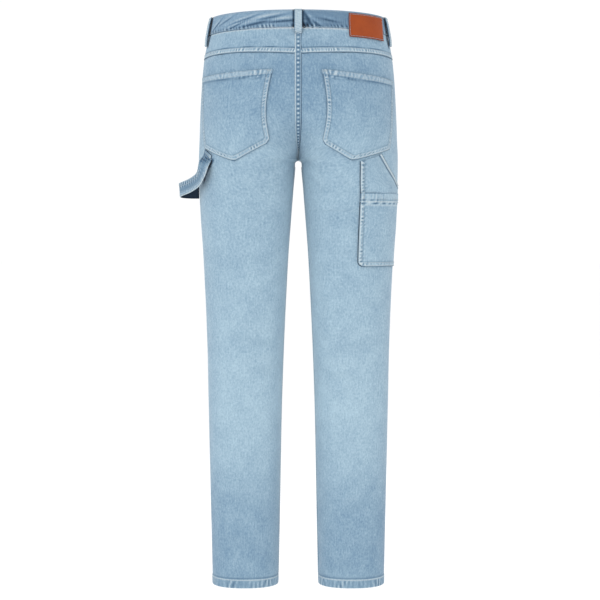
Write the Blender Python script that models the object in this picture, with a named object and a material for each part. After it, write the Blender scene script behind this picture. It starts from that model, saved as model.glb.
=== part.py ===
"""Carpenter trousers in light blue stretch denim, worn shape, empty.

Metres, +Z up. The back of the trousers faces -Y, the wearer's right leg is at
+X, and the origin is the middle of the waist opening, where a wearer holds
the trousers up. The legs are straight and the cloth is a wall of one layer.

A place on the cloth is given by four values: side (+1 right, -1 left), face
("front" or "back"), the distance along the cloth from the side seam, and the
height z.
"""
import functools
import math
from typing import NamedTuple

import bmesh
import bpy
import numpy as np


class Section(NamedTuple):
    """One level of the trousers: half widths, depths and roundness."""
    z: float
    side: float
    inner: float
    seam_y: float
    front: float
    back: float
    roundness: float


class Corner(NamedTuple):
    """A corner of a back pocket: distance from the side seam and height."""
    name: str
    right_along: float
    right_z: float
    left_along: float
    left_z: float


class Station(NamedTuple):
    """A place on the hammer loop's middle line, and how its width lies."""
    x: float
    y: float
    z: float
    width_x: float
    width_y: float
    width_z: float


class Finish(NamedTuple):
    """Colour, metallic value and roughness of one kind of surface."""
    color: tuple
    metallic: float
    roughness: float


# Level of the waist's side, then down to the hem
SECTIONS = (
    Section(0.020, 0.1715, 0.0062, 0.000, 0.095, 0.096, 2.05),
    Section(-0.004, 0.1738, 0.0062, 0.000, 0.098, 0.099, 2.05),
    Section(-0.040, 0.1795, 0.0062, 0.000, 0.104, 0.106, 2.10),
    Section(-0.080, 0.1860, 0.0062, 0.000, 0.110, 0.116, 2.18),
    Section(-0.120, 0.1903, 0.0062, 0.001, 0.114, 0.127, 2.20),
    Section(-0.160, 0.1930, 0.0062, 0.002, 0.116, 0.136, 2.20),
    Section(-0.200, 0.1950, 0.0062, 0.003, 0.115, 0.141, 2.20),
    Section(-0.240, 0.1965, 0.0062, 0.004, 0.111, 0.139, 2.20),
    Section(-0.283, 0.1980, 0.0062, 0.004, 0.104, 0.130, 2.20),
    Section(-0.340, 0.1970, 0.0108, 0.002, 0.096, 0.113, 2.22),
    Section(-0.400, 0.1940, 0.0155, 0.001, 0.090, 0.102, 2.24),
    Section(-0.460, 0.1900, 0.0200, 0.001, 0.085, 0.093, 2.25),
    Section(-0.560, 0.1850, 0.0255, 0.003, 0.078, 0.082, 2.25),
    Section(-0.660, 0.1815, 0.0300, 0.004, 0.072, 0.075, 2.25),
    Section(-0.760, 0.1795, 0.0335, 0.002, 0.068, 0.071, 2.25),
    Section(-0.860, 0.1772, 0.0357, -0.002, 0.064, 0.070, 2.25),
    Section(-0.960, 0.1750, 0.0373, -0.005, 0.061, 0.067, 2.25),
    Section(-1.060, 0.1727, 0.0393, -0.007, 0.059, 0.064, 2.25),
    Section(-1.140, 0.1710, 0.0410, -0.008, 0.058, 0.062, 2.25),
)

# Heights
WAIST_TOP_Z = -0.004
WAIST_TILT = 0.09
BAND_HEIGHT = 0.036
CROTCH_Z = -0.283
THIGH_Z = -0.510
HEM_Z = -1.128
HEM_DEPTH = 0.018

# How far above the crotch the two legs start to part, and how the fork is rounded
FORK_RISE = {"front": 0.18, "back": 0.24}
CLEFT_ROUND = 0.028
CROTCH_ROUND = 0.006

# Cloth
WALL = 0.0013
SEAM_GAP = 0.0003
HALF_GAP = SEAM_GAP / 2
LIE_GAP = 0.0008
DOUBLE_RAISE = 0.0008

# Waistband
BAND_WALL = 0.0026
BAND_LIFT = 0.0009
BAND_LAP = 0.036
BAND_RAMP = 0.030

# Height of the yoke's lower seam, by share of the way from the side seam to the centre back
YOKE_SEAM = ((0.0, -0.085), (0.15, -0.0825), (0.35, -0.0795), (0.55, -0.0785), (0.78, -0.080), (1.0, -0.0823))
YOKE_HEIGHT = 0.048
SEAM_BAND = 0.011

BACK_POCKET = (
    Corner("top_outer", 0.0436, -0.1290, 0.0313, -0.1215),
    Corner("top_inner", 0.2120, -0.1127, 0.2084, -0.1121),
    Corner("low_inner", 0.2434, -0.2503, 0.2346, -0.2492),
    Corner("tip", 0.1700, -0.2870, 0.1551, -0.2880),
    Corner("low_outer", 0.0937, -0.2633, 0.0841, -0.2602),
)
POCKET_HEIGHT = 0.148
POCKET_HEM = 0.012

# Tool pocket on the right leg: a tall layer and a shorter one over its lower part
TOOL_TOP_ALONG = 0.1183
TOOL_TOP_Z = -0.2738
TOOL_TIP_ALONG = 0.164
TOOL_TIP_Z = -0.2893
TOOL_SLANT_Z = -0.3450
TOOL_SLANT_BOW = 0.61
TOOL_LOW_Z = -0.4925
TOOL_LOW_ALONG = 0.128
TOOL_SHORT_Z = -0.3490
TOOL_MID_ALONG = 0.148
TOOL_CORNER = 0.010

# Front pockets: a scooped opening over a side piece
SCOOP_WIDTH = 0.105
SCOOP_DEPTH = 0.080
SCOOP_UNDERLAP = 0.016
SCOOP_BELOW = 0.012
SCOOP_MIDDLE_SHARE = 0.4
SCOOP_TURNS = (7, 15, 25, 38, 55, 72, 90)
FACING_LIFT = -0.0036

# Fly, a lap of cloth over the closed zip
FLY_WIDTH = 0.038
FLY_PAST_CENTRE = 0.005
FLY_LOW_Z = -0.190
FLY_CURVE = 0.030
FLY_LIFT = 0.0023

# Button at the centre front
BUTTON_RADIUS = 0.0085
BUTTON_HEIGHT = 0.0042

# Belt loops, with the front ones' place as a share of the way from the side seam
LOOP_WIDTH = 0.0150
LOOP_WALL = 0.0022
LOOP_STAND = 0.0068
LOOP_FOOT_GAP = 0.0002
LOOP_BELOW_BAND = 0.011
LOOP_SIDE_BELOW_BAND = 0.020
LOOP_FRONT_SHARE = 0.70
LOOP_SIDE_SHARE = 0.09

# Leather patch on the right back of the waistband
PATCH_ALONG = (0.0367, 0.1188)
PATCH_LEAN = 0.28
PATCH_TOP_DROP = 0.004
PATCH_HEIGHT = 0.047
PATCH_WALL = 0.0014

# Hammer loop on the left leg, from the back pocket's corner round to the side seam
HAMMER_WIDTH = 0.027
HAMMER_WALL = 0.0026
HAMMER_SEWN = ((0.0985, -0.2705), (0.0935, -0.2800))
HAMMER_SLOPE = math.radians(24)
HAMMER_FREE = (
    Station(-0.1835, -0.0930, -0.2940, -0.55, 0.60, 0.50),
    Station(-0.1885, -0.0890, -0.3100, -0.30, 0.30, 0.90),
    Station(-0.1965, -0.0740, -0.3235, -0.15, 0.10, 0.98),
    Station(-0.2135, -0.0460, -0.3335, -0.10, 0.03, 1.00),
    Station(-0.2290, -0.0260, -0.3390, -0.08, 0.00, 1.00),
    Station(-0.2350, -0.0130, -0.3420, -0.07, 0.00, 1.00),
    Station(-0.2290, -0.0020, -0.3440, -0.05, 0.00, 1.00),
    Station(-0.2130, 0.0020, -0.3450, -0.02, 0.00, 1.00),
    Station(-0.1978, 0.0021, -0.3450, 0.00, 0.00, 1.00),
)

# Grids
ARC_POINTS = 97
PANEL_COLUMNS = 12
BAND_COLUMNS = 13
LAP_COLUMNS = 3
EDGE_ROUND = 0.0006
SHARP_ANGLE = math.radians(40)

DENIM = Finish((0.352, 0.521, 0.622), 0.0, 0.90)
BAND_DENIM = Finish((0.235, 0.370, 0.490), 0.0, 0.90)
LEATHER = Finish((0.370, 0.090, 0.028), 0.0, 0.55)
BRASS = Finish((0.420, 0.330, 0.220), 1.0, 0.35)


# The surface of the cloth

SECTION_Z = np.array([row.z for row in reversed(SECTIONS)])
SECTION_COLUMNS = {
    name: np.array([getattr(row, name) for row in reversed(SECTIONS)])
    for name in Section._fields[1:]
}


def smooth_read(x, xs, ys):
    """Read a smooth curve through the points (xs, ys) at x."""
    slopes = np.gradient(ys, xs)
    i = int(np.clip(np.searchsorted(xs, x) - 1, 0, len(xs) - 2))
    step = xs[i + 1] - xs[i]
    t = (x - xs[i]) / step
    start = (2 * t**3 - 3 * t**2 + 1) * ys[i] + (t**3 - 2 * t**2 + t) * step * slopes[i]
    end = (3 * t**2 - 2 * t**3) * ys[i + 1] + (t**3 - t**2) * step * slopes[i + 1]
    return float(start + end)


def section(name, z):
    """One column of the section table at height z."""
    return smooth_read(z, SECTION_Z, SECTION_COLUMNS[name])


def smooth_step(t):
    """0 to 1 with level ends."""
    t = min(max(t, 0.0), 1.0)
    return t * t * (3 - 2 * t)


def inseam_x(z):
    """How far the inseam stands from the centre plane at height z."""
    below = CROTCH_Z - z
    if below <= 0:
        return 0.0
    turn = min(below / CROTCH_ROUND, 1.0)
    return section("inner", z) * math.sqrt(1 - (1 - turn) ** 2)


@functools.lru_cache(maxsize=None)
def arc(z, face):
    """The cloth's line at height z from the side seam inwards: x, y and distance."""
    side = section("side", z)
    depth = section(face, z)
    power = section("roundness", z)
    parted = 1 - smooth_step((z - CROTCH_Z) / FORK_RISE[face])
    centre = (side + section("inner", z)) / 2 * parted
    outer_half = side - centre
    rise = min(max((z - CROTCH_Z) / FORK_RISE[face], 0.0), 1.0)
    if z >= CROTCH_Z:
        joined = rise**1.5 * (2.5 - 1.5 * rise)
        inner_half = centre + (side - centre) * joined
        end = math.acos(-((centre / inner_half) ** (power / 2)))
    else:
        joined = 0.0
        inner_half = centre - inseam_x(z)
        end = math.pi
    angle = np.linspace(0, end, ARC_POINTS)
    reach = np.abs(np.cos(angle)) ** (2 / power)
    x = np.where(angle < math.pi / 2, centre + outer_half * reach, centre - inner_half * reach)
    x = np.maximum(x, 0.0)
    eased = np.hypot(x, CLEFT_ROUND * joined * (1 - x / side) ** 2)
    half = np.where(eased > centre, outer_half, inner_half)
    rest = np.clip(1 - (np.abs(eased - centre) / half) ** power, 0.0, 1.0)
    y = depth * rest ** (1 / power)
    y[0] = 0.0
    if z <= CROTCH_Z:
        y[-1] = 0.0
    y = section("seam_y", z) + (y if face == "front" else -y)
    along = np.concatenate([[0.0], np.cumsum(np.hypot(np.diff(x), np.diff(y)))])
    return x, y, along


def arc_length(z, face):
    """Length of cloth from the side seam to the centre line or the inseam."""
    return float(arc(round(z, 7), face)[2][-1])


def cloth_point(side, face, along, z):
    """The point of the cloth's outer surface at a distance from the side seam."""
    other = "back" if face == "front" else "front"
    if along < 0:
        return cloth_point(side, other, -along, z)
    x, y, distance = arc(round(z, 7), face)
    length = distance[-1]
    if along > length:
        if z >= CROTCH_Z:
            return cloth_point(-side, face, 2 * length - along, z)
        return cloth_point(side, other, arc_length(z, other) - (along - length), z)
    return np.array([side * np.interp(along, distance, x), np.interp(along, distance, y), z])


def cloth_normal(side, face, along, z):
    """The cloth's outward direction there."""
    step = 0.002
    across = cloth_point(side, face, along + step, z) - cloth_point(side, face, along - step, z)
    up = cloth_point(side, face, along, z + step) - cloth_point(side, face, along, z - step)
    normal = np.cross(across, up)
    normal /= np.linalg.norm(normal)
    away = cloth_point(side, face, along, z) - np.array([side * section("side", z) / 2, section("seam_y", z), z])
    return normal if normal @ away > 0 else -normal


def lifted_point(side, face, along, z, lift):
    """A point moved out from the cloth by lift."""
    return cloth_point(side, face, along, z) + lift * cloth_normal(side, face, along, z)


def slanted_z(face, share, base):
    """Height of a line that runs round the waist at the waist's slope."""
    z = base
    for _ in range(4):
        z = base - WAIST_TILT * cloth_point(1, face, share * arc_length(z, face), z)[1]
    return z


def band_seam_z(face, share):
    """Height of the seam under the waistband."""
    return slanted_z(face, share, WAIST_TOP_Z - BAND_HEIGHT)


def yoke_seam_z(share):
    """Height of the seam under the yoke."""
    shares, heights = zip(*YOKE_SEAM)
    return smooth_read(share, np.array(shares), np.array(heights))


# Walls and other solids

def grid_normals(grid):
    """Unit normals of a grid of points, by its rows and columns."""
    normals = np.cross(np.gradient(grid, axis=1), np.gradient(grid, axis=0))
    return normals / np.linalg.norm(normals, axis=2, keepdims=True)


def outward_normals(grid):
    """Grid normals that point away from the inside of the trousers."""
    normals = grid_normals(grid)
    rows, columns = grid.shape[0] // 2, grid.shape[1] // 2
    middle = grid[rows, columns]
    inside = np.array([math.copysign(0.09, middle[0]), section("seam_y", middle[2]), middle[2]])
    if normals[rows, columns] @ (middle - inside) < 0:
        normals = -normals
    return normals


def add_object(name, mesh_data, finish):
    """Link a mesh as an object with a material of its own."""
    mesh_data.shade_smooth()
    mesh_data.set_sharp_from_angle(angle=SHARP_ANGLE)
    material = bpy.data.materials.new(name)
    material.use_nodes = True
    shader = material.node_tree.nodes["Principled BSDF"]
    shader.inputs["Base Color"].default_value = (*finish.color, 1.0)
    shader.inputs["Metallic"].default_value = finish.metallic
    shader.inputs["Roughness"].default_value = finish.roughness
    material.diffuse_color = (*finish.color, 1.0)
    mesh_data.materials.append(material)
    piece = bpy.data.objects.new(name, mesh_data)
    bpy.context.collection.objects.link(piece)
    return piece


def add_wall(name, outer, inner, finish=DENIM):
    """A closed wall between two grids of points of the same size."""
    rows, columns = outer.shape[:2]
    mesh = bmesh.new()
    sheets = [[[mesh.verts.new(point) for point in row] for row in grid] for grid in (outer, inner)]
    for sheet in sheets:
        for r in range(rows - 1):
            for c in range(columns - 1):
                mesh.faces.new((sheet[r][c], sheet[r][c + 1], sheet[r + 1][c + 1], sheet[r + 1][c]))
    border = [(0, c) for c in range(columns)]
    border += [(r, columns - 1) for r in range(1, rows)]
    border += [(rows - 1, c) for c in range(columns - 2, -1, -1)]
    border += [(r, 0) for r in range(rows - 2, 0, -1)]
    for (r0, c0), (r1, c1) in zip(border, border[1:] + border[:1]):
        mesh.faces.new((sheets[0][r0][c0], sheets[0][r1][c1], sheets[1][r1][c1], sheets[1][r0][c0]))
    bmesh.ops.recalc_face_normals(mesh, faces=mesh.faces)
    data = bpy.data.meshes.new(name)
    mesh.to_mesh(data)
    mesh.free()
    return add_object(name, data, finish)


def sheet_grid(side, face, start, end, bottom, top, columns, shares, lift=None):
    """Points of a patch of cloth.

    start(z) and end(z) are distances from the side seam, bottom(u) and top(u)
    are heights, shares are the rows' places from bottom to top, and
    lift(u, v) is how far each point is moved out.
    """
    grid = np.zeros((len(shares), columns + 1, 3))
    for r, v in enumerate(shares):
        for c in range(columns + 1):
            u = c / columns
            z = bottom(u) + (top(u) - bottom(u)) * v
            along = start(z) + (end(z) - start(z)) * u
            out = lift(u, v) if lift else 0.0
            grid[r, c] = lifted_point(side, face, along, z, out) if out else cloth_point(side, face, along, z)
    return grid


def keep_to_quarter(grid, side, face):
    """Hold points half a seam gap clear of the centre plane and the side seams."""
    grid = grid.copy()
    grid[..., 0] = side * np.maximum(side * grid[..., 0], HALF_GAP)
    sign = 1 if face == "front" else -1
    seam = np.array([[section("seam_y", point[2]) for point in row] for row in grid])
    grid[..., 1] = seam + sign * np.maximum(sign * (grid[..., 1] - seam), HALF_GAP)
    return grid


def add_panel(name, side, face, outer, wall=WALL):
    """A wall of cloth that fills one quarter of the trousers' round."""
    outer = keep_to_quarter(outer, side, face)
    inner = keep_to_quarter(outer - wall * outward_normals(outer), side, face)
    return add_wall(name, outer, inner)


def add_patch(name, grid, wall, finish=DENIM):
    """A wall of cloth that lies on another one."""
    return add_wall(name, grid, grid - wall * outward_normals(grid), finish)


def side_name(side):
    """The wearer's side."""
    return "right" if side > 0 else "left"


# Panels

def leg_rows():
    """Heights of a panel's rows at the side seam and at its inner edge, up to the seat."""
    hem = [HEM_Z, HEM_Z + HEM_DEPTH, HEM_Z + HEM_DEPTH + 0.0015]
    leg = list(np.linspace(hem[-1], THIGH_Z, 11))[1:] + list(np.linspace(THIGH_Z, CROTCH_Z - 0.030, 8))[1:]
    fork = [CROTCH_Z - 0.016]
    fork += [CROTCH_Z - CROTCH_ROUND * (1 - math.cos(math.radians(turn))) for turn in (90, 65, 40, 20)]
    fork += [CROTCH_Z + 0.070 * (k / 6) ** 2.2 for k in range(7)]
    inner = hem + leg + fork
    side = hem + leg + list(np.linspace(leg[-1], fork[-1], len(fork) + 1))[1:]
    return list(zip(side, inner))


def panel_z(u, row):
    """Height of a panel's row at a share of its width."""
    side, inner = row
    mix = smooth_step((u - 0.35) / 0.65)
    return side + (inner - side) * mix


def panel_along(u, z, face, start):
    """Distance from the side seam of a panel's column, with the fork's extra cloth at its inner end."""
    length = arc_length(z, face) - HALF_GAP
    body = min(length, arc_length(max(z, CROTCH_Z + 0.060), face)) if z > CROTCH_Z - 0.10 else length
    extra = length - body
    return body * u + start * (1 - u) ** 2 + extra * smooth_step((u - 0.55) / 0.45)


def scoop_along(z):
    """Edge of the front pocket's opening: distance from the side seam at height z."""
    drop = (band_seam_z("front", SCOOP_MIDDLE_SHARE) - z) / SCOOP_DEPTH
    return SCOOP_WIDTH * math.sqrt(max(0.0, 1 - min(max(drop, 0.0), 1.0) ** 2))


def add_leg_panel(side, face):
    """The front or back of one leg, from the hem to the yoke or the waistband."""
    rows = leg_rows()
    top_rows = 5 if face == "back" else 3 + len(SCOOP_TURNS)
    grid = np.zeros((len(rows) + top_rows, PANEL_COLUMNS + 1, 3))
    for c in range(PANEL_COLUMNS + 1):
        u = c / PANEL_COLUMNS
        heights = [panel_z(u, row) for row in rows]
        if face == "back":
            top = yoke_seam_z(u) - HALF_GAP
            heights += list(np.linspace(heights[-1], top, top_rows + 1))[1:]
        else:
            seam = WAIST_TOP_Z - BAND_HEIGHT
            top = band_seam_z(face, panel_along(u, seam, face, SCOOP_WIDTH) / arc_length(seam, face)) - HALF_GAP
            low = top - SCOOP_DEPTH
            heights += list(np.linspace(heights[-1], low, 4))[1:]
            heights += [top - SCOOP_DEPTH * math.cos(math.radians(turn)) for turn in SCOOP_TURNS]
        for r, z in enumerate(heights):
            start = HALF_GAP if face == "back" else max(HALF_GAP, scoop_along(z))
            along = panel_along(u, z, face, start)
            lift = DOUBLE_RAISE if r < 2 else 0.0
            point = cloth_point(side, face, along, z)
            grid[r, c] = point + lift * cloth_normal(side, face, along, z) if lift else point
    add_panel(f"{face}_{side_name(side)}", side, face, grid)


def add_yoke(side):
    """The piece between the waistband and the back's upper seam."""
    seam_share = SEAM_BAND / YOKE_HEIGHT

    def lift(_, v):
        return DOUBLE_RAISE if v < seam_share + 0.001 else 0.0

    grid = sheet_grid(
        side, "back",
        start=lambda z: HALF_GAP,
        end=lambda z: arc_length(z, "back") - HALF_GAP,
        bottom=lambda u: yoke_seam_z(u) + HALF_GAP,
        top=lambda u: band_seam_z("back", u) - HALF_GAP,
        columns=PANEL_COLUMNS,
        shares=(0.0, seam_share, seam_share + 0.03, 0.6, 1.0),
        lift=lift,
    )
    add_panel(f"yoke_{side_name(side)}", side, "back", grid)


def add_pocket_side(side):
    """The side piece under the scooped opening of a front pocket."""
    low = band_seam_z("front", SCOOP_MIDDLE_SHARE) - SCOOP_DEPTH - SCOOP_BELOW
    grid = sheet_grid(
        side, "front",
        start=lambda z: HALF_GAP,
        end=lambda z: scoop_along(z) + SCOOP_UNDERLAP,
        bottom=lambda u: low + 0.010 * u,
        top=lambda u: band_seam_z("front", u * 0.48) - HALF_GAP,
        columns=8,
        shares=(0.0, 0.06, 0.13, 0.19, 0.3, 0.45, 0.65, 0.85, 1.0),
        lift=lambda u, v: FACING_LIFT,
    )
    add_panel(f"front_pocket_side_{side_name(side)}", side, "front", grid)


# Waistband, fly and button

def band_stations():
    """Places round the band from its right end to its lapped left end.

    Each is a side, a face, a share of the way from the side seam, and how far
    the band has risen on to its other end.
    """
    front = arc_length(WAIST_TOP_Z - BAND_HEIGHT / 2, "front")
    shares = [k / BAND_COLUMNS for k in range(BAND_COLUMNS + 1)]
    ring = [(1, "front", share, 0.0) for share in reversed(shares)]
    ring += [(1, "back", share, 0.0) for share in shares[1:]]
    ring += [(-1, "back", share, 0.0) for share in reversed(shares[:-1])]
    ring += [(-1, "front", share, smooth_step(1 - (1 - share) * front / BAND_RAMP)) for share in shares[1:]]
    ring += [(1, "front", 1 - BAND_LAP * k / LAP_COLUMNS / front, 1.0) for k in range(1, LAP_COLUMNS + 1)]
    return ring


def add_waistband():
    """A ring of double cloth from the right end, round the back, to the left end lapped over it."""
    heights = (WAIST_TOP_Z - BAND_HEIGHT, WAIST_TOP_Z - BAND_HEIGHT / 2, WAIST_TOP_Z - 0.001, WAIST_TOP_Z)
    columns = []
    for side, face, share, rise in band_stations():
        column = []
        for base in heights:
            z = slanted_z(face, share, base)
            lift = BAND_LIFT + rise * (BAND_WALL + LIE_GAP)
            if base == WAIST_TOP_Z:
                lift -= EDGE_ROUND
            column.append(lifted_point(side, face, share * arc_length(z, face), z, lift))
        columns.append(column)
    grid = np.transpose(np.array(columns), (1, 0, 2))
    normals = grid_normals(grid)
    if normals[1, 2 * BAND_COLUMNS, 1] > 0:
        normals = -normals
    inner = grid - BAND_WALL * normals
    inner[-1] = grid[-1] - (BAND_WALL - 2 * EDGE_ROUND) * normals[-1]
    add_wall("waistband", grid, inner, BAND_DENIM)


def add_fly():
    """The lap over the zip: straight at the centre front, curved in at its lower end."""
    span = FLY_WIDTH + FLY_PAST_CENTRE

    def start(z):
        length = arc_length(z, "front")
        curve = min(max((FLY_LOW_Z + FLY_CURVE - z) / FLY_CURVE, 0.0), 1.0)
        return length - FLY_WIDTH + FLY_WIDTH * 0.8 * (1 - math.sqrt(1 - curve**2))

    def top(u):
        reach = FLY_PAST_CENTRE - span * (1 - u)
        share = 1 - abs(reach) / arc_length(-0.045, "front")
        return band_seam_z("front", share) - HALF_GAP

    grid = sheet_grid(
        -1, "front", start,
        end=lambda z: arc_length(z, "front") + FLY_PAST_CENTRE,
        bottom=lambda u: FLY_LOW_Z,
        top=top,
        columns=6,
        shares=(0.0, 0.02, 0.06, 0.12, 0.22, 0.4, 0.6, 0.8, 1.0),
        lift=lambda u, v: FLY_LIFT,
    )
    add_patch("fly", grid, WALL)


def add_button():
    """A turned shank button at the centre front of the waistband."""
    z = slanted_z("front", 1.0, WAIST_TOP_Z - BAND_HEIGHT / 2)
    centre = cloth_point(1, "front", arc_length(z, "front"), z)
    seat = centre[1] + BAND_LIFT + BAND_WALL + 2 * LIE_GAP + LOOP_FOOT_GAP
    radius, height = BUTTON_RADIUS, BUTTON_HEIGHT
    profile = (
        (0.45 * radius, 0.0),
        (0.45 * radius, 0.35 * height),
        (0.94 * radius, 0.45 * height),
        (radius, 0.65 * height),
        (0.94 * radius, 0.90 * height),
        (0.78 * radius, height),
        (0.66 * radius, 0.86 * height),
    )
    segments = 28
    mesh = bmesh.new()
    rings = []
    for r, h in profile:
        turn = [2 * math.pi * k / segments for k in range(segments)]
        rings.append([mesh.verts.new((r * math.cos(a), seat + h, z + r * math.sin(a))) for a in turn])
    for low, high in zip(rings, rings[1:]):
        for k in range(segments):
            n = (k + 1) % segments
            mesh.faces.new((low[k], low[n], high[n], high[k]))
    mesh.faces.new(rings[0])
    mesh.faces.new(rings[-1])
    bmesh.ops.recalc_face_normals(mesh, faces=mesh.faces)
    data = bpy.data.meshes.new("button")
    mesh.to_mesh(data)
    mesh.free()
    add_object("button", data, BRASS)


# Belt loops and the leather patch

def add_belt_loop(name, side, face, share, below=LOOP_BELOW_BAND):
    """A strip of folded cloth sewn at the waistband's top and under it, clear of it between."""
    shares = (0.0, 0.08, 0.18, 0.30, 0.50, 0.70, 0.82, 0.92, 1.0)
    stand = (0.0, 0.35, 0.85, 1.0, 1.0, 1.0, 0.85, 0.35, 0.0)
    base_z = slanted_z(face, share, WAIST_TOP_Z)
    top_z = base_z + EDGE_ROUND
    low_z = base_z - BAND_HEIGHT - below
    outer = np.zeros((len(shares), 4, 3))
    middle_z = base_z - BAND_HEIGHT / 2
    normal = cloth_normal(side, face, share * arc_length(middle_z, face), middle_z)
    normal[2] = 0.0
    normal /= np.linalg.norm(normal)
    across = np.array([-normal[1], normal[0], 0.0])
    for r, (v, out) in enumerate(zip(shares, stand)):
        z = low_z + (top_z - low_z) * v
        foot = cloth_point(side, face, share * arc_length(z, face), z)
        lift = BAND_LIFT + LOOP_FOOT_GAP + LOOP_WALL + out * LOOP_STAND
        for c, place in enumerate((-0.5, -0.42, 0.42, 0.5)):
            edge_in = EDGE_ROUND if abs(place) == 0.5 else 0.0
            outer[r, c] = foot + across * LOOP_WIDTH * place + normal * (lift - edge_in)
    inner = outer.copy()
    for r, row in enumerate(outer):
        slope = np.gradient(outer[:, 1], axis=0)[r]
        direction = np.cross(across, slope / np.linalg.norm(slope))
        direction *= math.copysign(1.0, direction @ normal)
        for c in range(4):
            edge_in = EDGE_ROUND if c in (0, 3) else 0.0
            inner[r, c] = outer[r, c] - direction * (LOOP_WALL - 2 * edge_in)
    add_wall(name, outer, inner)


def add_leather_patch():
    """A plain rectangle of leather over the waistband and the top of the yoke."""
    start, end = PATCH_ALONG
    length = arc_length(-0.02, "back")

    def top(u):
        share = (start + (end - start) * u) / length
        return slanted_z("back", share, WAIST_TOP_Z) - PATCH_TOP_DROP

    grid = sheet_grid(
        1, "back",
        start=lambda z: start - PATCH_LEAN * z,
        end=lambda z: end - PATCH_LEAN * z,
        bottom=lambda u: top(u) - PATCH_HEIGHT,
        top=top,
        columns=9,
        shares=(0.0, 0.35, 0.7, 1.0),
        lift=lambda u, v: BAND_LIFT + LIE_GAP + PATCH_WALL,
    )
    add_patch("leather_patch", grid, PATCH_WALL, LEATHER)


# Pockets

def pocket_corners(side):
    """The back pocket's corners on one side, by name: distance from the side seam and height."""
    if side > 0:
        return {row.name: (row.right_along, row.right_z) for row in BACK_POCKET}
    return {row.name: (row.left_along, row.left_z) for row in BACK_POCKET}


def line_at(low, high, z):
    """Distance from the side seam, at height z, on the line through two corners."""
    return low[0] + (high[0] - low[0]) * (z - low[1]) / (high[1] - low[1])


def pocket_bottom(corners, u):
    """Height of the pocket's pointed lower edge at a share of its width."""
    outer, tip, inner = corners["low_outer"], corners["tip"], corners["low_inner"]
    tip_share = (tip[0] - outer[0]) / (inner[0] - outer[0])
    if u < tip_share:
        return outer[1] + (tip[1] - outer[1]) * u / tip_share
    return tip[1] + (inner[1] - tip[1]) * (u - tip_share) / (1 - tip_share)


def add_back_pocket(side):
    """A patch pocket with a pointed bottom and a folded top edge."""
    corners = pocket_corners(side)
    outer_top, inner_top = corners["top_outer"], corners["top_inner"]
    hem_share = 1 - POCKET_HEM / POCKET_HEIGHT

    def lift(_, v):
        return WALL + LIE_GAP + (DOUBLE_RAISE if v > hem_share else 0.0)

    grid = sheet_grid(
        side, "back",
        start=lambda z: line_at(corners["low_outer"], outer_top, z),
        end=lambda z: line_at(corners["low_inner"], inner_top, z),
        bottom=lambda u: pocket_bottom(corners, u),
        top=lambda u: outer_top[1] + (inner_top[1] - outer_top[1]) * u,
        columns=14,
        shares=(0.0, 0.15, 0.30, 0.45, 0.60, 0.76, hem_share - 0.01, hem_share + 0.001, 1.0),
        lift=lift,
    )
    add_patch(f"back_pocket_{side_name(side)}", grid, WALL)


def tool_back_along(z):
    """The tool pocket's back edge: distance from the side seam at height z."""
    heights = np.array([TOOL_LOW_Z, TOOL_SHORT_Z, TOOL_TIP_Z])
    places = np.array([TOOL_LOW_ALONG, TOOL_MID_ALONG, TOOL_TIP_ALONG])
    corner = min(max((TOOL_LOW_Z + TOOL_CORNER - z) / TOOL_CORNER, 0.0), 1.0)
    return float(np.interp(z, heights, places)) - TOOL_CORNER * (1 - math.sqrt(1 - corner**2))


def tool_front_along(z):
    """The tool pocket's front edge: the side seam, then the slanted mouth."""
    slant = max(0.0, (z - TOOL_SLANT_Z) / (TOOL_TOP_Z - TOOL_SLANT_Z))
    return LIE_GAP + TOOL_TOP_ALONG * slant**TOOL_SLANT_BOW


def add_tool_pocket(name, top, shares, layers):
    """One layer of the tool pocket, with so many layers of cloth up to its outer side."""
    grid = sheet_grid(
        1, "back",
        start=tool_front_along,
        end=lambda z: tool_back_along(z) - (layers - 1) * LIE_GAP,
        bottom=lambda u: TOOL_LOW_Z,
        top=top,
        columns=14,
        shares=shares,
        lift=lambda u, v: layers * (WALL + LIE_GAP),
    )
    add_patch(name, grid, WALL)


def add_tool_pockets():
    """The tall layer with its slanted mouth, and the short layer over its lower part."""
    height = TOOL_TOP_Z - TOOL_LOW_Z
    slant_share = (TOOL_SLANT_Z - TOOL_LOW_Z) / height
    corner = (0.0, 0.004, 0.02, 0.055)
    add_tool_pocket(
        "tool_pocket_tall",
        top=lambda u: TOOL_TOP_Z + (TOOL_TIP_Z - TOOL_TOP_Z) * u,
        shares=corner + (0.2, 0.35, 0.5, *(slant_share + (1 - slant_share) * np.linspace(0, 1, 10) ** 1.5)),
        layers=1,
    )
    add_tool_pocket(
        "tool_pocket_short",
        top=lambda u: TOOL_SHORT_Z,
        shares=corner + (0.3, 0.6, 1.0),
        layers=2,
    )


# Hammer loop

@functools.lru_cache(maxsize=None)
def hammer_stations():
    """The loop's stations: two where it is sewn to the back panel, then the free ones."""
    sewn = []
    step_along, step_z = 0.01 * math.cos(HAMMER_SLOPE), 0.01 * math.sin(HAMMER_SLOPE)
    for along, z in HAMMER_SEWN:
        middle = lifted_point(-1, "back", along, z, HAMMER_WALL / 2 + LIE_GAP)
        across = cloth_point(-1, "back", along - step_along, z + step_z)
        across = across - cloth_point(-1, "back", along + step_along, z - step_z)
        sewn.append(Station(*middle, *(across / np.linalg.norm(across))))
    return (*sewn, *HAMMER_FREE)


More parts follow.
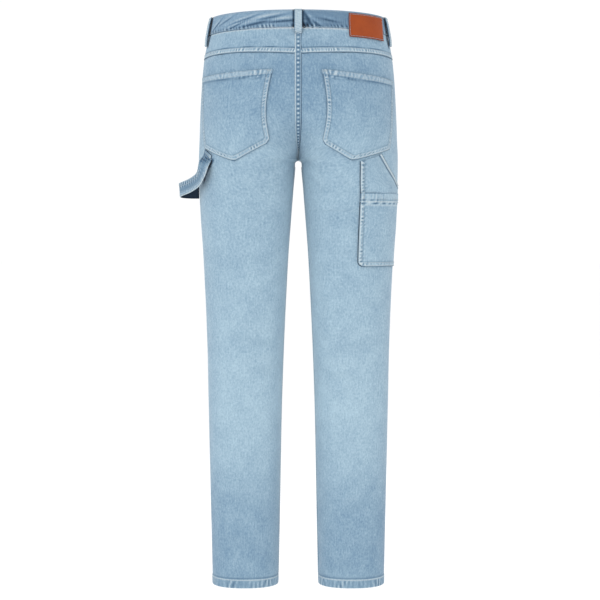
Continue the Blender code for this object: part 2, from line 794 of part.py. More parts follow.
def hammer_frame(t):
    """Middle, width direction and thickness direction of the hammer loop at a share of its way."""
    stations = hammer_stations()
    places = np.linspace(0, 1, len(stations))
    values = [smooth_read(t, places, np.array(column)) for column in zip(*stations)]
    ahead = [smooth_read(t + 0.01, places, np.array(column)) for column in zip(*stations)]
    behind = [smooth_read(t - 0.01, places, np.array(column)) for column in zip(*stations)]
    tangent = np.array(ahead[:3]) - np.array(behind[:3])
    tangent /= np.linalg.norm(tangent)
    width = np.array(values[3:])
    width -= tangent * (width @ tangent)
    width /= np.linalg.norm(width)
    return np.array(values[:3]), width, np.cross(tangent, width)


def add_hammer_loop():
    """A strip of double cloth that stands out from the left leg."""
    outer, inner = [], []
    for t in np.linspace(0, 1, 22):
        middle, width, out = hammer_frame(t)
        places = (-0.5, -0.45, 0.0, 0.45, 0.5)
        slim = (0.6, 1.0, 1.0, 1.0, 0.6)
        outer.append([middle + width * HAMMER_WIDTH * p + out * HAMMER_WALL / 2 * s for p, s in zip(places, slim)])
        inner.append([middle + width * HAMMER_WIDTH * p - out * HAMMER_WALL / 2 * s for p, s in zip(places, slim)])
    add_wall("hammer_loop", np.array(outer), np.array(inner))


def main():
    """Clear the scene and build every piece."""
    for existing in list(bpy.data.objects):
        bpy.data.objects.remove(existing)
    for side in (1, -1):
        for face in ("back", "front"):
            add_leg_panel(side, face)
        add_yoke(side)
        add_pocket_side(side)
        add_back_pocket(side)
    add_tool_pockets()
    add_hammer_loop()
    add_waistband()
    add_fly()
    add_button()
    add_leather_patch()
    add_belt_loop("belt_loop_centre", 1, "back", 1.0)
    for side in (1, -1):
        add_belt_loop(f"belt_loop_side_{side_name(side)}", side, "back", LOOP_SIDE_SHARE, LOOP_SIDE_BELOW_BAND)
        add_belt_loop(f"belt_loop_front_{side_name(side)}", side, "front", LOOP_FRONT_SHARE)


main()
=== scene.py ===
"""Looks of the carpenter trousers: washed denim, sewing, leather, button and studio.

Metres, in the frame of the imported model: +Z up, the back of the trousers
towards -Y, the wearer's right leg at +X, and the origin at the middle of the
waist opening.
"""
import logging
import math
from dataclasses import dataclass, field
from enum import Enum
from typing import Any, Callable, NamedTuple, Optional, Sequence

import bpy
import numpy as np
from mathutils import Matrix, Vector


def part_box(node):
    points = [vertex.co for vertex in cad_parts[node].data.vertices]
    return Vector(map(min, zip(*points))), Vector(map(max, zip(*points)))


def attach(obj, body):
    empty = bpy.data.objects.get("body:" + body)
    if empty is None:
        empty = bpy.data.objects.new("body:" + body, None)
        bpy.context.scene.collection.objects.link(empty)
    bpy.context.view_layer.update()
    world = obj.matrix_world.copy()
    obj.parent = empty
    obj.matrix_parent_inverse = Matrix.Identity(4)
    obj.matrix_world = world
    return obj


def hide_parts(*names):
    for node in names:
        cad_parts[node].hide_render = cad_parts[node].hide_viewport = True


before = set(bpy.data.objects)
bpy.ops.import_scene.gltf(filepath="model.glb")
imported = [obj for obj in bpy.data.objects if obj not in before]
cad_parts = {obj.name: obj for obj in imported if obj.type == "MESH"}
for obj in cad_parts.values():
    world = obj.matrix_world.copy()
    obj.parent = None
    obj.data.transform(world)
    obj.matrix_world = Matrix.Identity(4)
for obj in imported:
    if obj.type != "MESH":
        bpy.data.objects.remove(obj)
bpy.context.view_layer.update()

LOG = logging.getLogger("trousers")
Array = np.ndarray
MM = 0.001
BODY = "root"


class Face(Enum):
    """The half of the trousers that a panel belongs to."""

    FRONT = "front"
    BACK = "back"

    @property
    def other(self) -> "Face":
        """The face across the side seam."""
        return Face.BACK if self is Face.FRONT else Face.FRONT


class Slot(Enum):
    """The record's material slots."""

    DENIM = "denim"
    BAND = "band_denim"
    LEATHER = "leather"
    METAL = "button_metal"
    THREAD = "thread"


class Section(NamedTuple):
    """One level of the trousers: half widths, depths and roundness."""

    z: float
    side: float
    inner: float
    seam_y: float
    front: float
    back: float
    roundness: float


class Crease(NamedTuple):
    """A soft fold: its middle, slope in degrees, length, width and depth in millimetres."""

    along: float
    z: float
    slope: float
    length: float
    width: float
    depth: float


class Wash(NamedTuple):
    """How far the cloth is washed out at a height, at its outer, middle and inner part, with painted fill light in it.
    """

    z: float
    outer: float
    middle: float
    inner: float


SECTIONS = (
    Section(0.020, 0.1715, 0.0062, 0.000, 0.095, 0.096, 2.05),
    Section(-0.004, 0.1738, 0.0062, 0.000, 0.098, 0.099, 2.05),
    Section(-0.040, 0.1795, 0.0062, 0.000, 0.104, 0.106, 2.10),
    Section(-0.080, 0.1860, 0.0062, 0.000, 0.110, 0.116, 2.18),
    Section(-0.120, 0.1903, 0.0062, 0.001, 0.114, 0.127, 2.20),
    Section(-0.160, 0.1930, 0.0062, 0.002, 0.116, 0.136, 2.20),
    Section(-0.200, 0.1950, 0.0062, 0.003, 0.115, 0.141, 2.20),
    Section(-0.240, 0.1965, 0.0062, 0.004, 0.111, 0.139, 2.20),
    Section(-0.283, 0.1980, 0.0062, 0.004, 0.104, 0.130, 2.20),
    Section(-0.340, 0.1970, 0.0108, 0.002, 0.096, 0.113, 2.22),
    Section(-0.400, 0.1940, 0.0155, 0.001, 0.090, 0.102, 2.24),
    Section(-0.460, 0.1900, 0.0200, 0.001, 0.085, 0.093, 2.25),
    Section(-0.560, 0.1850, 0.0255, 0.003, 0.078, 0.082, 2.25),
    Section(-0.660, 0.1815, 0.0300, 0.004, 0.072, 0.075, 2.25),
    Section(-0.760, 0.1795, 0.0335, 0.002, 0.068, 0.071, 2.25),
    Section(-0.860, 0.1772, 0.0357, -0.002, 0.064, 0.070, 2.25),
    Section(-0.960, 0.1750, 0.0373, -0.005, 0.061, 0.067, 2.25),
    Section(-1.060, 0.1727, 0.0393, -0.007, 0.059, 0.064, 2.25),
    Section(-1.140, 0.1710, 0.0410, -0.008, 0.058, 0.062, 2.25),
)

# Washing as the cloth shows it, from the waist to the hem; the inner part is also painted paler as fill light, against
# the shade between the legs
WASH_AND_LIGHT = (
    Wash(-0.040, 0.50, 0.42, 0.36),
    Wash(-0.085, 0.42, 0.28, 0.18),
    Wash(-0.110, 0.34, 0.20, 0.06),
    Wash(-0.190, 0.42, 0.28, 0.20),
    Wash(-0.250, 0.48, 0.46, 0.56),
    Wash(-0.311, 0.52, 0.52, 0.92),
    Wash(-0.421, 0.48, 0.52, 0.86),
    Wash(-0.541, 0.40, 0.58, 0.86),
    Wash(-0.661, 0.46, 0.64, 0.80),
    Wash(-0.781, 0.42, 0.72, 0.80),
    Wash(-0.881, 0.35, 0.59, 0.60),
    Wash(-0.961, 0.16, 0.32, 0.52),
    Wash(-1.041, 0.07, 0.24, 0.42),
    Wash(-1.110, 0.10, 0.26, 0.32),
)

# Creases of the back's panels: distance from the side seam and height in metres
SEAT_CREASES = (
    Crease(0.285, -0.287, 24, 90, 7, -1.3),
    Crease(0.270, -0.318, 38, 80, 8, -1.0),
    Crease(0.240, -0.262, 10, 70, 7, -0.9),
    Crease(0.215, -0.235, -20, 60, 6, -0.7),
    Crease(0.180, -0.345, 18, 70, 9, -0.7),
    Crease(0.120, -0.640, -8, 80, 11, -0.8),
    Crease(0.150, -0.700, 12, 70, 10, -0.8),
    Crease(0.090, -0.560, 14, 60, 9, -0.5),
    Crease(0.110, -0.960, -10, 70, 9, -0.6),
    Crease(0.080, -1.050, 12, 60, 8, -0.7),
    Crease(0.130, -1.080, -14, 50, 7, -0.6),
)
# Creases of the front's panels
LAP_CREASES = (
    Crease(0.235, -0.240, 30, 80, 7, -1.4),
    Crease(0.215, -0.262, 22, 90, 8, -1.2),
    Crease(0.200, -0.215, 42, 70, 7, -0.9),
    Crease(0.240, -0.300, 12, 80, 8, -1.0),
    Crease(0.120, -0.300, -14, 70, 9, -0.6),
    Crease(0.110, -0.620, -10, 70, 10, -0.7),
    Crease(0.130, -0.670, 8, 80, 10, -0.8),
    Crease(0.090, -0.720, 16, 60, 9, -0.6),
    Crease(0.100, -1.020, -12, 60, 8, -0.7),
    Crease(0.120, -1.070, 10, 60, 8, -0.7),
)


def smooth_read(x: Any, xs: Array, ys: Array) -> Array:
    """Read a smooth curve through points.

    Args:
        x: Places to read.
        xs: The points' places, rising.
        ys: The points' values.

    Returns:
        The values at x.
    """
    slopes = np.gradient(ys, xs)
    i = np.clip(np.searchsorted(xs, x) - 1, 0, len(xs) - 2)
    step = xs[i + 1] - xs[i]
    t = (x - xs[i]) / step
    start = (2 * t**3 - 3 * t**2 + 1) * ys[i] + (t**3 - 2 * t**2 + t) * step * slopes[i]
    end = (3 * t**2 - 2 * t**3) * ys[i + 1] + (t**3 - t**2) * step * slopes[i + 1]
    return start + end


def smooth_step(t: Any) -> Array:
    """0 to 1 with level ends."""
    t = np.clip(t, 0.0, 1.0)
    return t * t * (3 - 2 * t)


def bell(distance: Any, width: float) -> Array:
    """1 at distance 0, falling off over width."""
    return np.exp(-((distance / width) ** 2))


def unit(vectors: Array) -> Array:
    """Vectors at length 1."""
    return vectors / np.maximum(np.linalg.norm(vectors, axis=-1, keepdims=True), 1e-12)


def spaced(length: float, step: float, edge: Sequence[float] = ()) -> Array:
    """Shares from 0 to 1 along a length, close together near both ends.

    Args:
        length: The real length.
        step: Spacing in the middle.
        edge: Distances from each end that get a share of their own.

    Returns:
        Rising shares, 0 and 1 among them.
    """
    near = [d for d in edge if d < 0.45 * length]
    inner = near[-1] if near else 0.0
    count = max(2, round((length - 2 * inner) / step))
    middle = np.linspace(inner, length - inner, count + 1)
    ends = np.array(near[:-1])
    return np.concatenate([ends, middle, (length - ends)[::-1]]) / length


EDGE_STEPS = tuple(v * MM for v in (0.0, 0.3, 0.7, 1.2, 1.8, 2.6, 3.6, 4.7, 5.8, 6.8, 7.6, 8.5, 9.6, 11.0, 13.0))


class TrouserForm:
    """The outer surface of the cloth, by side, face, distance from the side seam and height."""

    crotch_z = -0.283
    fork_rise = {Face.FRONT: 0.18, Face.BACK: 0.24}
    fork_soft = 0.015
    cleft_round = 0.028
    crotch_round = 0.006
    waist_top_z = -0.004
    waist_tilt = 0.09
    band_height = 0.036
    yoke_seam = ((0.0, -0.085), (0.15, -0.0825), (0.35, -0.0795), (0.55, -0.0785), (0.78, -0.080), (1.0, -0.0823))
    samples = 193
    batch = 3000

    def __init__(self) -> None:
        """Sort the section table by rising height."""
        rows = SECTIONS[::-1]
        self.levels = np.array([row.z for row in rows])
        self.columns = {name: np.array([getattr(row, name) for row in rows]) for name in Section._fields[1:]}

    def read(self, name: str, z: Any) -> Array:
        """One column of the section table at heights z."""
        return smooth_read(np.asarray(z, dtype=float), self.levels, self.columns[name])

    def inseam_x(self, z: Array) -> Array:
        """How far the inseam stands from the centre plane."""
        turn = np.clip((self.crotch_z - z) / self.crotch_round, 0.0, 1.0)
        return self.read("inner", z) * np.sqrt(1 - (1 - turn) ** 2)

    def arcs(self, z: Array, face: Face) -> tuple[Array, Array, Array]:
        """The cloth's lines at heights z.

        Args:
            z: Heights.
            face: Front or back.

        Returns:
            x, y and distance from the side seam, a row for each height.
        """
        z = z[:, None]
        side, depth, power = self.read("side", z), self.read(face.value, z), self.read("roundness", z)
        rise = np.clip((z - self.crotch_z) / self.fork_rise[face], 0.0, 1.0)
        soft = (np.hypot(rise, self.fork_soft) - self.fork_soft) / (math.hypot(1.0, self.fork_soft) - self.fork_soft)
        torso = z >= self.crotch_z
        centre = (side + self.read("inner", z)) / 2 * (1 - smooth_step(rise))
        outer_half = side - centre
        joined = np.where(torso, soft**1.5 * (2.5 - 1.5 * soft), 0.0)
        inner_half = np.where(torso, centre + (side - centre) * joined, centre - self.inseam_x(z))
        end = np.where(torso, np.arccos(-np.clip(centre / inner_half, 0, 1) ** (power / 2)), math.pi)
        angle = end * np.linspace(0, 1, self.samples)[None, :]
        reach = np.abs(np.cos(angle)) ** (2 / power)
        x = np.where(angle < math.pi / 2, centre + outer_half * reach, centre - inner_half * reach)
        x = np.maximum(x, 0.0)
        eased = np.hypot(x, self.cleft_round * joined * (1 - x / side) ** 2)
        half = np.where(eased > centre, outer_half, inner_half)
        y = depth * np.clip(1 - (np.abs(eased - centre) / half) ** power, 0.0, 1.0) ** (1 / power)
        y[:, 0] = 0.0
        y[:, -1] = np.where(z[:, 0] <= self.crotch_z, 0.0, y[:, -1])
        y = self.read("seam_y", z) + (y if face is Face.FRONT else -y)
        run = np.cumsum(np.hypot(np.diff(x), np.diff(y)), axis=1)
        return x, y, np.concatenate([np.zeros_like(z), run], axis=1)

    def length(self, z: Any, face: Face) -> Array:
        """Length of cloth from the side seam to the centre line or the inseam."""
        z = np.asarray(z, dtype=float)
        levels, which = np.unique(np.round(z.ravel(), 6), return_inverse=True)
        parts = [self.arcs(levels[i:i + self.batch], face)[2][:, -1] for i in range(0, len(levels), self.batch)]
        return np.concatenate(parts)[which].reshape(z.shape)

    def _on_face(self, side: Array, face: Face, along: Array, z: Array) -> Array:
        """Points that lie on one face without passing its seams."""
        out = np.zeros((len(z), 3))
        levels, which = np.unique(np.round(z, 6), return_inverse=True)
        for first in range(0, len(levels), self.batch):
            x, y, run = self.arcs(levels[first:first + self.batch], face)
            mine = np.flatnonzero((which >= first) & (which < first + self.batch))
            row = which[mine] - first
            at = np.minimum(along[mine], run[row, -1])
            right = np.clip((run[row] < at[:, None]).sum(axis=1), 1, self.samples - 1)
            low, high = run[row, right - 1], run[row, right]
            t = (at - low) / np.maximum(high - low, 1e-12)
            out[mine, 0] = side[mine] * (x[row, right - 1] * (1 - t) + x[row, right] * t)
            out[mine, 1] = y[row, right - 1] * (1 - t) + y[row, right] * t
        out[:, 2] = z
        return out

    def point(self, side: Any, face: Face, along: Any, z: Any) -> Array:
        """Points of the outer surface; past a seam they go on round the trousers.

        Args:
            side: 1 for the wearer's right, -1 for the left.
            face: The face that the distance starts on.
            along: Distance from the side seam.
            z: Height.

        Returns:
            Points, in the shape of the inputs with a last axis of 3.
        """
        shape = np.broadcast(side, along, z).shape
        side, along, z = (np.broadcast_to(v, shape).astype(float).ravel() for v in (side, along, z))
        length = self.length(z, face)
        torso = z >= self.crotch_z
        across = (along > length) & torso
        side = np.where(across, -side, side)
        along = np.where(across, 2 * length - along, along)
        onward = (along < 0) | ((along > length) & ~torso)
        out = self._on_face(side, face, np.maximum(along, 0.0), z)
        if onward.any():
            far = self.length(z[onward], face.other) - (along[onward] - length[onward])
            rest = np.where(along[onward] < 0, -along[onward], far)
            out[onward] = self._on_face(side[onward], face.other, rest, z[onward])
        return out.reshape(*shape, 3)

    def outward(self, side: Any, face: Face, along: Any, z: Any) -> Array:
        """Unit directions out of the cloth."""
        step = 1.5 * MM
        across = self.point(side, face, along + step, z) - self.point(side, face, along - step, z)
        up = self.point(side, face, along, np.asarray(z) + step) - self.point(side, face, along, np.asarray(z) - step)
        normal = unit(np.cross(across, up))
        middle = self.point(side, face, along, z)
        away = middle - np.stack(
            [np.sign(middle[..., 0]) * self.read("side", z) / 2, self.read("seam_y", z), np.broadcast_to(z, middle.shape[:-1])],
            axis=-1,
        )
        return np.where((normal * away).sum(-1, keepdims=True) > 0, normal, -normal)

    def lifted(self, side: Any, face: Face, along: Any, z: Any, lift: Any) -> Array:
        """Points moved out from the cloth by lift."""
        out = self.outward(side, face, along, z)
        return self.point(side, face, along, z) + out * np.asarray(lift)[..., None]

    def slanted_z(self, face: Face, share: Any, base: float) -> Array:
        """Height of a line that runs round the waist at the waist's slope."""
        share = np.asarray(share, dtype=float)
        z = np.full(share.shape, base)
        for _ in range(4):
            z = base - self.waist_tilt * self.point(1, face, share * self.length(z, face), z)[..., 1]
        return z

    def band_seam_z(self, face: Face, share: Any) -> Array:
        """Height of the seam under the waistband."""
        return self.slanted_z(face, share, self.waist_top_z - self.band_height)

    def yoke_seam_z(self, share: Any) -> Array:
        """Height of the seam under the yoke."""
        shares, heights = (np.array(v) for v in zip(*self.yoke_seam))
        return smooth_read(np.asarray(share, dtype=float), shares, heights)


FORM = TrouserForm()


# Relief of sewn cloth

def wander(run: Array, pitch: float, seed: int) -> Array:
    """Uneven ripples along a seam, from -1 to 1.

    Args:
        run: Distance along the seam.
        pitch: Mean spacing of the ripples.
        seed: Picks the unevenness.

    Returns:
        The ripples' height.
    """
    rng = np.random.default_rng(seed)
    phase = np.zeros_like(run)
    swell = np.zeros_like(run)
    for k in range(1, 5):
        turn = rng.uniform(0, 2 * math.pi, 2)
        phase += 1.1 / k * np.sin(2 * math.pi * run / (pitch * (2.3 + 2.1 * k)) + turn[0])
        swell += 0.30 * np.sin(2 * math.pi * run / (pitch * (3.1 + 2.7 * k)) + turn[1])
    return np.sin(2 * math.pi * run / pitch + phase) * np.clip(0.75 + swell, 0.15, 1.2)


def rolled(distance: Array, radius: float) -> Array:
    """How far a folded edge turns down at a distance from it."""
    turn = np.clip(1 - distance / radius, 0.0, 1.0)
    return -radius * (1 - np.sqrt(1 - turn**2))


def double_seam(distance: Array, run: Array, seed: int, width: float = 8 * MM) -> tuple[Array, Array]:
    """Relief and wear of a folded edge sewn down with two rows.

    Args:
        distance: Distance from the fold.
        run: Distance along the fold.
        seed: Picks the puckers.
        width: From the fold to the inner row.

    Returns:
        Height in metres, and how worn the cloth is, from -1, dark painted shade, to 1, worn pale.
    """
    ripple = wander(run, 6.4 * MM, seed)
    rows = bell(distance - 1.9 * MM, 0.8 * MM) + bell(distance - width, 0.8 * MM)
    between = smooth_step((distance - 1.2 * MM) / (1.6 * MM)) * smooth_step((width + 0.4 * MM - distance) / (1.6 * MM))
    beyond = np.exp(-np.clip(distance - width, 0, None) / (3.5 * MM)) * (distance > width)
    raised = smooth_step((width + 1.6 * MM - distance) / (2.0 * MM))
    height = (0.50 * raised - 0.30 * rows + 0.40 * ripple * between + 0.25 * ripple * beyond) * MM
    # Painted shade: the fold's very edge and a line beyond the inner row are darkened; the puckers are paler on their
    # crests and darker in their troughs, partly worn cloth and partly painted shade
    wear = 0.90 * bell(distance - 2.2 * MM, 1.3 * MM) - 1.7 * bell(distance, 1.2 * MM) * (distance < 0.5)
    wear = wear + between * (0.02 + 0.95 * ripple) * smooth_step((distance - 2.6 * MM) / (1.2 * MM))
    wear = wear + 0.45 * bell(distance - width, 1.0 * MM) - 0.55 * bell(distance - width - 1.8 * MM, 1.0 * MM) + 0.35 * ripple * beyond
    return height, wear


def crease_relief(creases: Sequence[Crease], along: Array, z: Array) -> Array:
    """Height of listed creases, each a trough with a soft ridge above it."""
    height = np.zeros(np.broadcast(along, z).shape)
    for crease in creases:
        slope = math.radians(crease.slope)
        da, dz = along - crease.along, z - crease.z
        length = da * math.cos(slope) + dz * math.sin(slope)
        across = (dz * math.cos(slope) - da * math.sin(slope)) / (crease.width * MM)
        bend = 0.35 * np.sin(length / (0.33 * crease.length * MM))
        across = across + bend
        body = bell(length, 0.5 * crease.length * MM)
        height += crease.depth * MM * body * (bell(across, 1.0) - 0.55 * bell(across - 1.9, 1.3))
    return height


def unevenness(along: Array, z: Array, seed: int) -> Array:
    """Slow swells of the cloth, up to about half a millimetre."""
    rng = np.random.default_rng(seed)
    height = np.zeros(np.broadcast(along, z).shape)
    for _ in range(7):
        wide, tall = rng.uniform(0.045, 0.11), rng.uniform(0.07, 0.20)
        turns = rng.uniform(0, 2 * math.pi, 2)
        tilt = rng.uniform(-0.5, 0.5)
        height += np.sin(2 * math.pi * (along + tilt * z) / wide + turns[0]) * np.sin(2 * math.pi * z / tall + turns[1])
    return 0.16 * MM * height


# Meshes

def grid_normals(grid: Array) -> Array:
    """Unit normals of a grid of points."""
    return unit(np.cross(np.gradient(grid, axis=1), np.gradient(grid, axis=0)))


@dataclass
class Cloth:
    """Outer points of a piece of cloth and what its finish reads there."""

    points: Array
    outward: Array
    place: Array
    # How far the cloth is washed out, painted fill light included
    fade: Array
    # Below zero painted shade, above zero worn paler cloth
    wear: Array

    @property
    def area(self) -> float:
        """Area of the outer side in square metres."""
        a = self.points[1:, :-1] - self.points[:-1, :-1]
        b = self.points[:-1, 1:] - self.points[:-1, :-1]
        return float(np.linalg.norm(np.cross(a, b), axis=-1).sum())

    @property
    def flat(self) -> tuple[float, float]:
        """Greatest width and length, measured along the cloth."""
        width = np.linalg.norm(np.diff(self.points, axis=1), axis=-1).sum(axis=1).max()
        length = np.linalg.norm(np.diff(self.points, axis=0), axis=-1).sum(axis=0).max()
        return float(width), float(length)


def mesh_object(name: str, points: Array, faces: Sequence, material: bpy.types.Material) -> bpy.types.Object:
    """A smooth shaded object from points and faces."""
    data = bpy.data.meshes.new(name)
    data.from_pydata(points.reshape(-1, 3).tolist(), [], faces)
    data.update()
    data.shade_smooth()
    data.materials.append(material)
    piece = bpy.data.objects.new(name, data)
    bpy.context.scene.collection.objects.link(piece)
    return piece


def set_values(piece: bpy.types.Object, name: str, kind: str, values: Array) -> None:
    """Store a value at each point for the finish to read."""
    layer = piece.data.attributes.new(name, kind, "POINT")
    key = "vector" if kind == "FLOAT_VECTOR" else "value"
    layer.data.foreach_set(key, np.ascontiguousarray(values, dtype=np.float32).ravel())


def grid_faces(rows: int, columns: int, first: int, flip: bool) -> list[tuple[int, ...]]:
    """Faces of a grid of points that starts at index first."""
    corner = first + np.arange(rows * columns).reshape(rows, columns)
    quads = np.stack([corner[:-1, :-1], corner[:-1, 1:], corner[1:, 1:], corner[1:, :-1]], axis=-1).reshape(-1, 4)
    return [tuple(q) for q in (quads[:, ::-1] if flip else quads).tolist()]


def border_faces(rows: int, columns: int, flip: bool) -> list[tuple[int, ...]]:
    """Faces that close the wall between two grids stored one after the other."""
    corner = np.arange(rows * columns).reshape(rows, columns)
    ring = np.concatenate([corner[0, :-1], corner[:-1, -1], corner[-1, :0:-1], corner[:0:-1, 0]])
    after = np.roll(ring, -1)
    count = rows * columns
    quads = np.stack([ring, ring + count, after + count, after], axis=-1)
    return [tuple(q) for q in (quads[:, ::-1] if flip else quads).tolist()]


class Tailor:
    """Makes cloth pieces from grids, gives them their finish, attaches them to the body and hides the parts they
    replace.
    """

    @staticmethod
    def wall(
        name: str,
        cloth: Cloth,
        thickness: float,
        material: bpy.types.Material,
        inner: Optional[Array] = None,
        inner_wear_and_shade: float = 0.45,
    ) -> bpy.types.Object:
        """A closed wall of cloth.

        Args:
            name: The piece's name.
            cloth: Its outer side.
            thickness: Wall thickness away from the edges.
            material: Its finish.
            inner: Inner points, if they aren't the outer ones moved in.
            inner_wear_and_shade: Wear of the reverse side; far below zero it paints the reverse side near black as
                painted shade.

        Returns:
            The new object.
        """
        rows, columns = cloth.points.shape[:2]
        normals = grid_normals(cloth.points)
        if (normals * cloth.outward).sum() < 0:
            normals = -normals
            flip = True
        else:
            flip = False
        if inner is None:
            near = np.minimum.outer(
                np.minimum(np.arange(rows), np.arange(rows)[::-1]), np.minimum(np.arange(columns), np.arange(columns)[::-1])
            )
            thin = thickness * np.where(near == 0, 0.35, 1.0)
            inner = cloth.points - normals * thin[..., None]
        faces = grid_faces(rows, columns, 0, flip) + grid_faces(rows, columns, rows * columns, not flip)
        faces += border_faces(rows, columns, flip)
        piece = mesh_object(name, np.concatenate([cloth.points.reshape(-1, 3), inner.reshape(-1, 3)]), faces, material)
        place = np.concatenate([cloth.place.reshape(-1, 2)] * 2)
        set_values(piece, "place", "FLOAT_VECTOR", np.column_stack([place, np.zeros(len(place))]))
        set_values(piece, "fade", "FLOAT", np.concatenate([cloth.fade.ravel()] * 2))
        set_values(piece, "wear", "FLOAT", np.concatenate([cloth.wear.ravel(), np.full(cloth.wear.size, inner_wear_and_shade)]))
        return piece

    @staticmethod
    def fit(
        piece: bpy.types.Object,
        slot: Slot,
        nodes: Sequence[str],
        cloth: Optional[Cloth] = None,
        rests_on: Sequence[str] = (),
        held: str = "draped",
    ) -> bpy.types.Object:
        """Attach the piece to the body, hide the CAD parts that it replaces, and log it."""
        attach(piece, BODY)
        if nodes:
            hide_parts(*nodes)
        LOG.info("%s: %d faces", piece.name, len(piece.data.polygons))
        return piece


# Finishes

def srgb(code: str, alpha: float = 1.0) -> tuple[float, float, float, float]:
    """An sRGB hex colour as linear values."""
    parts = [int(code[i:i + 2], 16) / 255 for i in (1, 3, 5)]
    linear = [p / 12.92 if p <= 0.04045 else ((p + 0.055) / 1.055) ** 2.4 for p in parts]
    return (linear[0], linear[1], linear[2], alpha)


def add_node(tree: bpy.types.NodeTree, kind: str, settings: Optional[dict] = None, links: Optional[dict] = None) -> Any:
    """Add a node, set it and link it.

    Args:
        tree: The tree.
        kind: The node's type.
        settings: Attributes by name, and inputs by name or number after "in:".
        links: Source sockets by input name or number.

    Returns:
        The node.
    """
    node = tree.nodes.new(kind)
    for key, value in (settings or {}).items():
        if key.startswith("in:"):
            socket = key[3:]
            node.inputs[int(socket) if socket.isdigit() else socket].default_value = value
        else:
            setattr(node, key, value)
    for key, source in (links or {}).items():
        tree.links.new(source, node.inputs[int(key) if str(key).isdigit() else key])
    return node


def new_material(name: str) -> tuple[bpy.types.Material, bpy.types.NodeTree, Any]:
    """A material with its tree and Principled shader."""
    material = bpy.data.materials.new(name)
    material.use_nodes = True
    return material, material.node_tree, material.node_tree.nodes["Principled BSDF"]


def math_node(tree: bpy.types.NodeTree, operation: str, a: Any, b: Any) -> Any:
    """The output of a sum, product or other operation on sockets or numbers."""
    node = add_node(tree, "ShaderNodeMath", {"operation": operation})
    for i, value in enumerate((a, b)):
        if isinstance(value, (int, float)):
            node.inputs[i].default_value = value
        else:
            tree.links.new(value, node.inputs[i])
    return node.outputs[0]


def mix_color(tree: bpy.types.NodeTree, share: Any, a: Any, b: Any, blend: str = "MIX") -> Any:
    """The output of a colour mix, its colours given as sockets or values."""
    node = add_node(tree, "ShaderNodeMix", {"data_type": "RGBA", "blend_type": blend, "clamp_factor": True})
    for index, value in ((0, share), (6, a), (7, b)):
        if isinstance(value, (int, float, tuple)):
            node.inputs[index].default_value = value
        else:
            tree.links.new(value, node.inputs[index])
    return node.outputs[2]


@dataclass(frozen=True)
class WashedDenim:
    """Stretch denim, indigo warp over white weft in a 3/1 twill, garment washed.

    The warp's uneven dye and slubs read as fine upright streaks, the wash lifts the colour where the cloth is proud,
    and the nap keeps it matt.
    Painted shade darkens it towards the shadow colour along folds, seams and creases, and towards near black in the
    loops' insides.
    """

    name: str = "washed_denim_twill"
    deep: str = "#7190AA"
    pale: str = "#B0CAD8"
    worn: str = "#C6D4DA"
    shadow: str = "#4A6984"
    # Near black: painted shade for the loops' insides and the gaps beside them
    raw: str = "#1E2A38"
    # Real twill lines lie 0.6 mm apart; they are drawn 1.5 mm apart to show
    twill_mm: float = 1.5
    slub_wide_mm: float = 3.2
    slub_tall_mm: float = 13.0
    roughness: float = 0.88

    def build(self) -> bpy.types.Material:
        """The material."""
        material, tree, shader = new_material(self.name)
        place = add_node(tree, "ShaderNodeAttribute", {"attribute_name": "place"}).outputs["Vector"]
        fade = add_node(tree, "ShaderNodeAttribute", {"attribute_name": "fade"}).outputs["Fac"]
        wear = add_node(tree, "ShaderNodeAttribute", {"attribute_name": "wear"}).outputs["Fac"]

        def noise(wide_mm: float, tall_mm: float, detail: float, rough: float = 0.55) -> Any:
            """Noise of a real size, about -0.5 to 0.5."""
            scale = (1000 / wide_mm, 1000 / tall_mm, 1.0)
            sized = add_node(tree, "ShaderNodeVectorMath", {"operation": "MULTIPLY", "in:1": scale}, {"0": place})
            node = add_node(
                tree, "ShaderNodeTexNoise", {"in:Scale": 1.0, "in:Detail": detail, "in:Roughness": rough},
                {"Vector": sized.outputs[0]},
            )
            return math_node(tree, "SUBTRACT", node.outputs["Fac"], 0.5)

        slubs = noise(self.slub_wide_mm, self.slub_tall_mm, 3.0)
        grain = noise(3.2, 4.6, 3.0, 0.75)
        clouds = noise(30.0, 42.0, 2.0)
        tone = math_node(tree, "ADD", fade, math_node(tree, "MULTIPLY", slubs, 0.72))
        tone = math_node(tree, "ADD", tone, math_node(tree, "MULTIPLY", grain, 1.42))
        tone = math_node(tree, "ADD", tone, math_node(tree, "MULTIPLY", clouds, 0.55))
        color = mix_color(tree, tone, srgb(self.deep), srgb(self.pale))
        patchy = math_node(tree, "MULTIPLY", wear, math_node(tree, "ADD", math_node(tree, "MULTIPLY", grain, 1.6), 0.85))
        color = mix_color(tree, patchy, color, srgb(self.worn))
        # Below zero the attribute paints shade: the shadow colour first, then near black past -1.6
        color = mix_color(tree, math_node(tree, "MULTIPLY", patchy, -1.0), color, srgb(self.shadow))
        black_shade_share = math_node(tree, "SUBTRACT", math_node(tree, "MULTIPLY", wear, -1.0), 1.6)
        color = mix_color(tree, black_shade_share, color, srgb(self.raw))
        tree.links.new(color, shader.inputs["Base Color"])

        lines = add_node(tree, "ShaderNodeVectorMath", {"operation": "DOT_PRODUCT", "in:1": (1.0, 0.62, 0.0)}, {"0": place})
        turn = 2 * math.pi / (self.twill_mm * MM)
        twill = math_node(tree, "SINE", math_node(tree, "MULTIPLY", lines.outputs["Value"], turn), 0.0)
        height = math_node(tree, "ADD", math_node(tree, "MULTIPLY", twill, 0.35), math_node(tree, "MULTIPLY", slubs, 1.6))
        height = math_node(tree, "ADD", height, math_node(tree, "MULTIPLY", grain, 1.1))
        bump = add_node(tree, "ShaderNodeBump", {"in:Strength": 0.55, "in:Distance": 0.35 * MM}, {"Height": height})
        tree.links.new(bump.outputs[0], shader.inputs["Normal"])
        shader.inputs["Roughness"].default_value = self.roughness
        shader.inputs["Sheen Weight"].default_value = 0.18
        shader.inputs["Sheen Roughness"].default_value = 0.45
        shader.inputs["Specular IOR Level"].default_value = 0.25
        return material


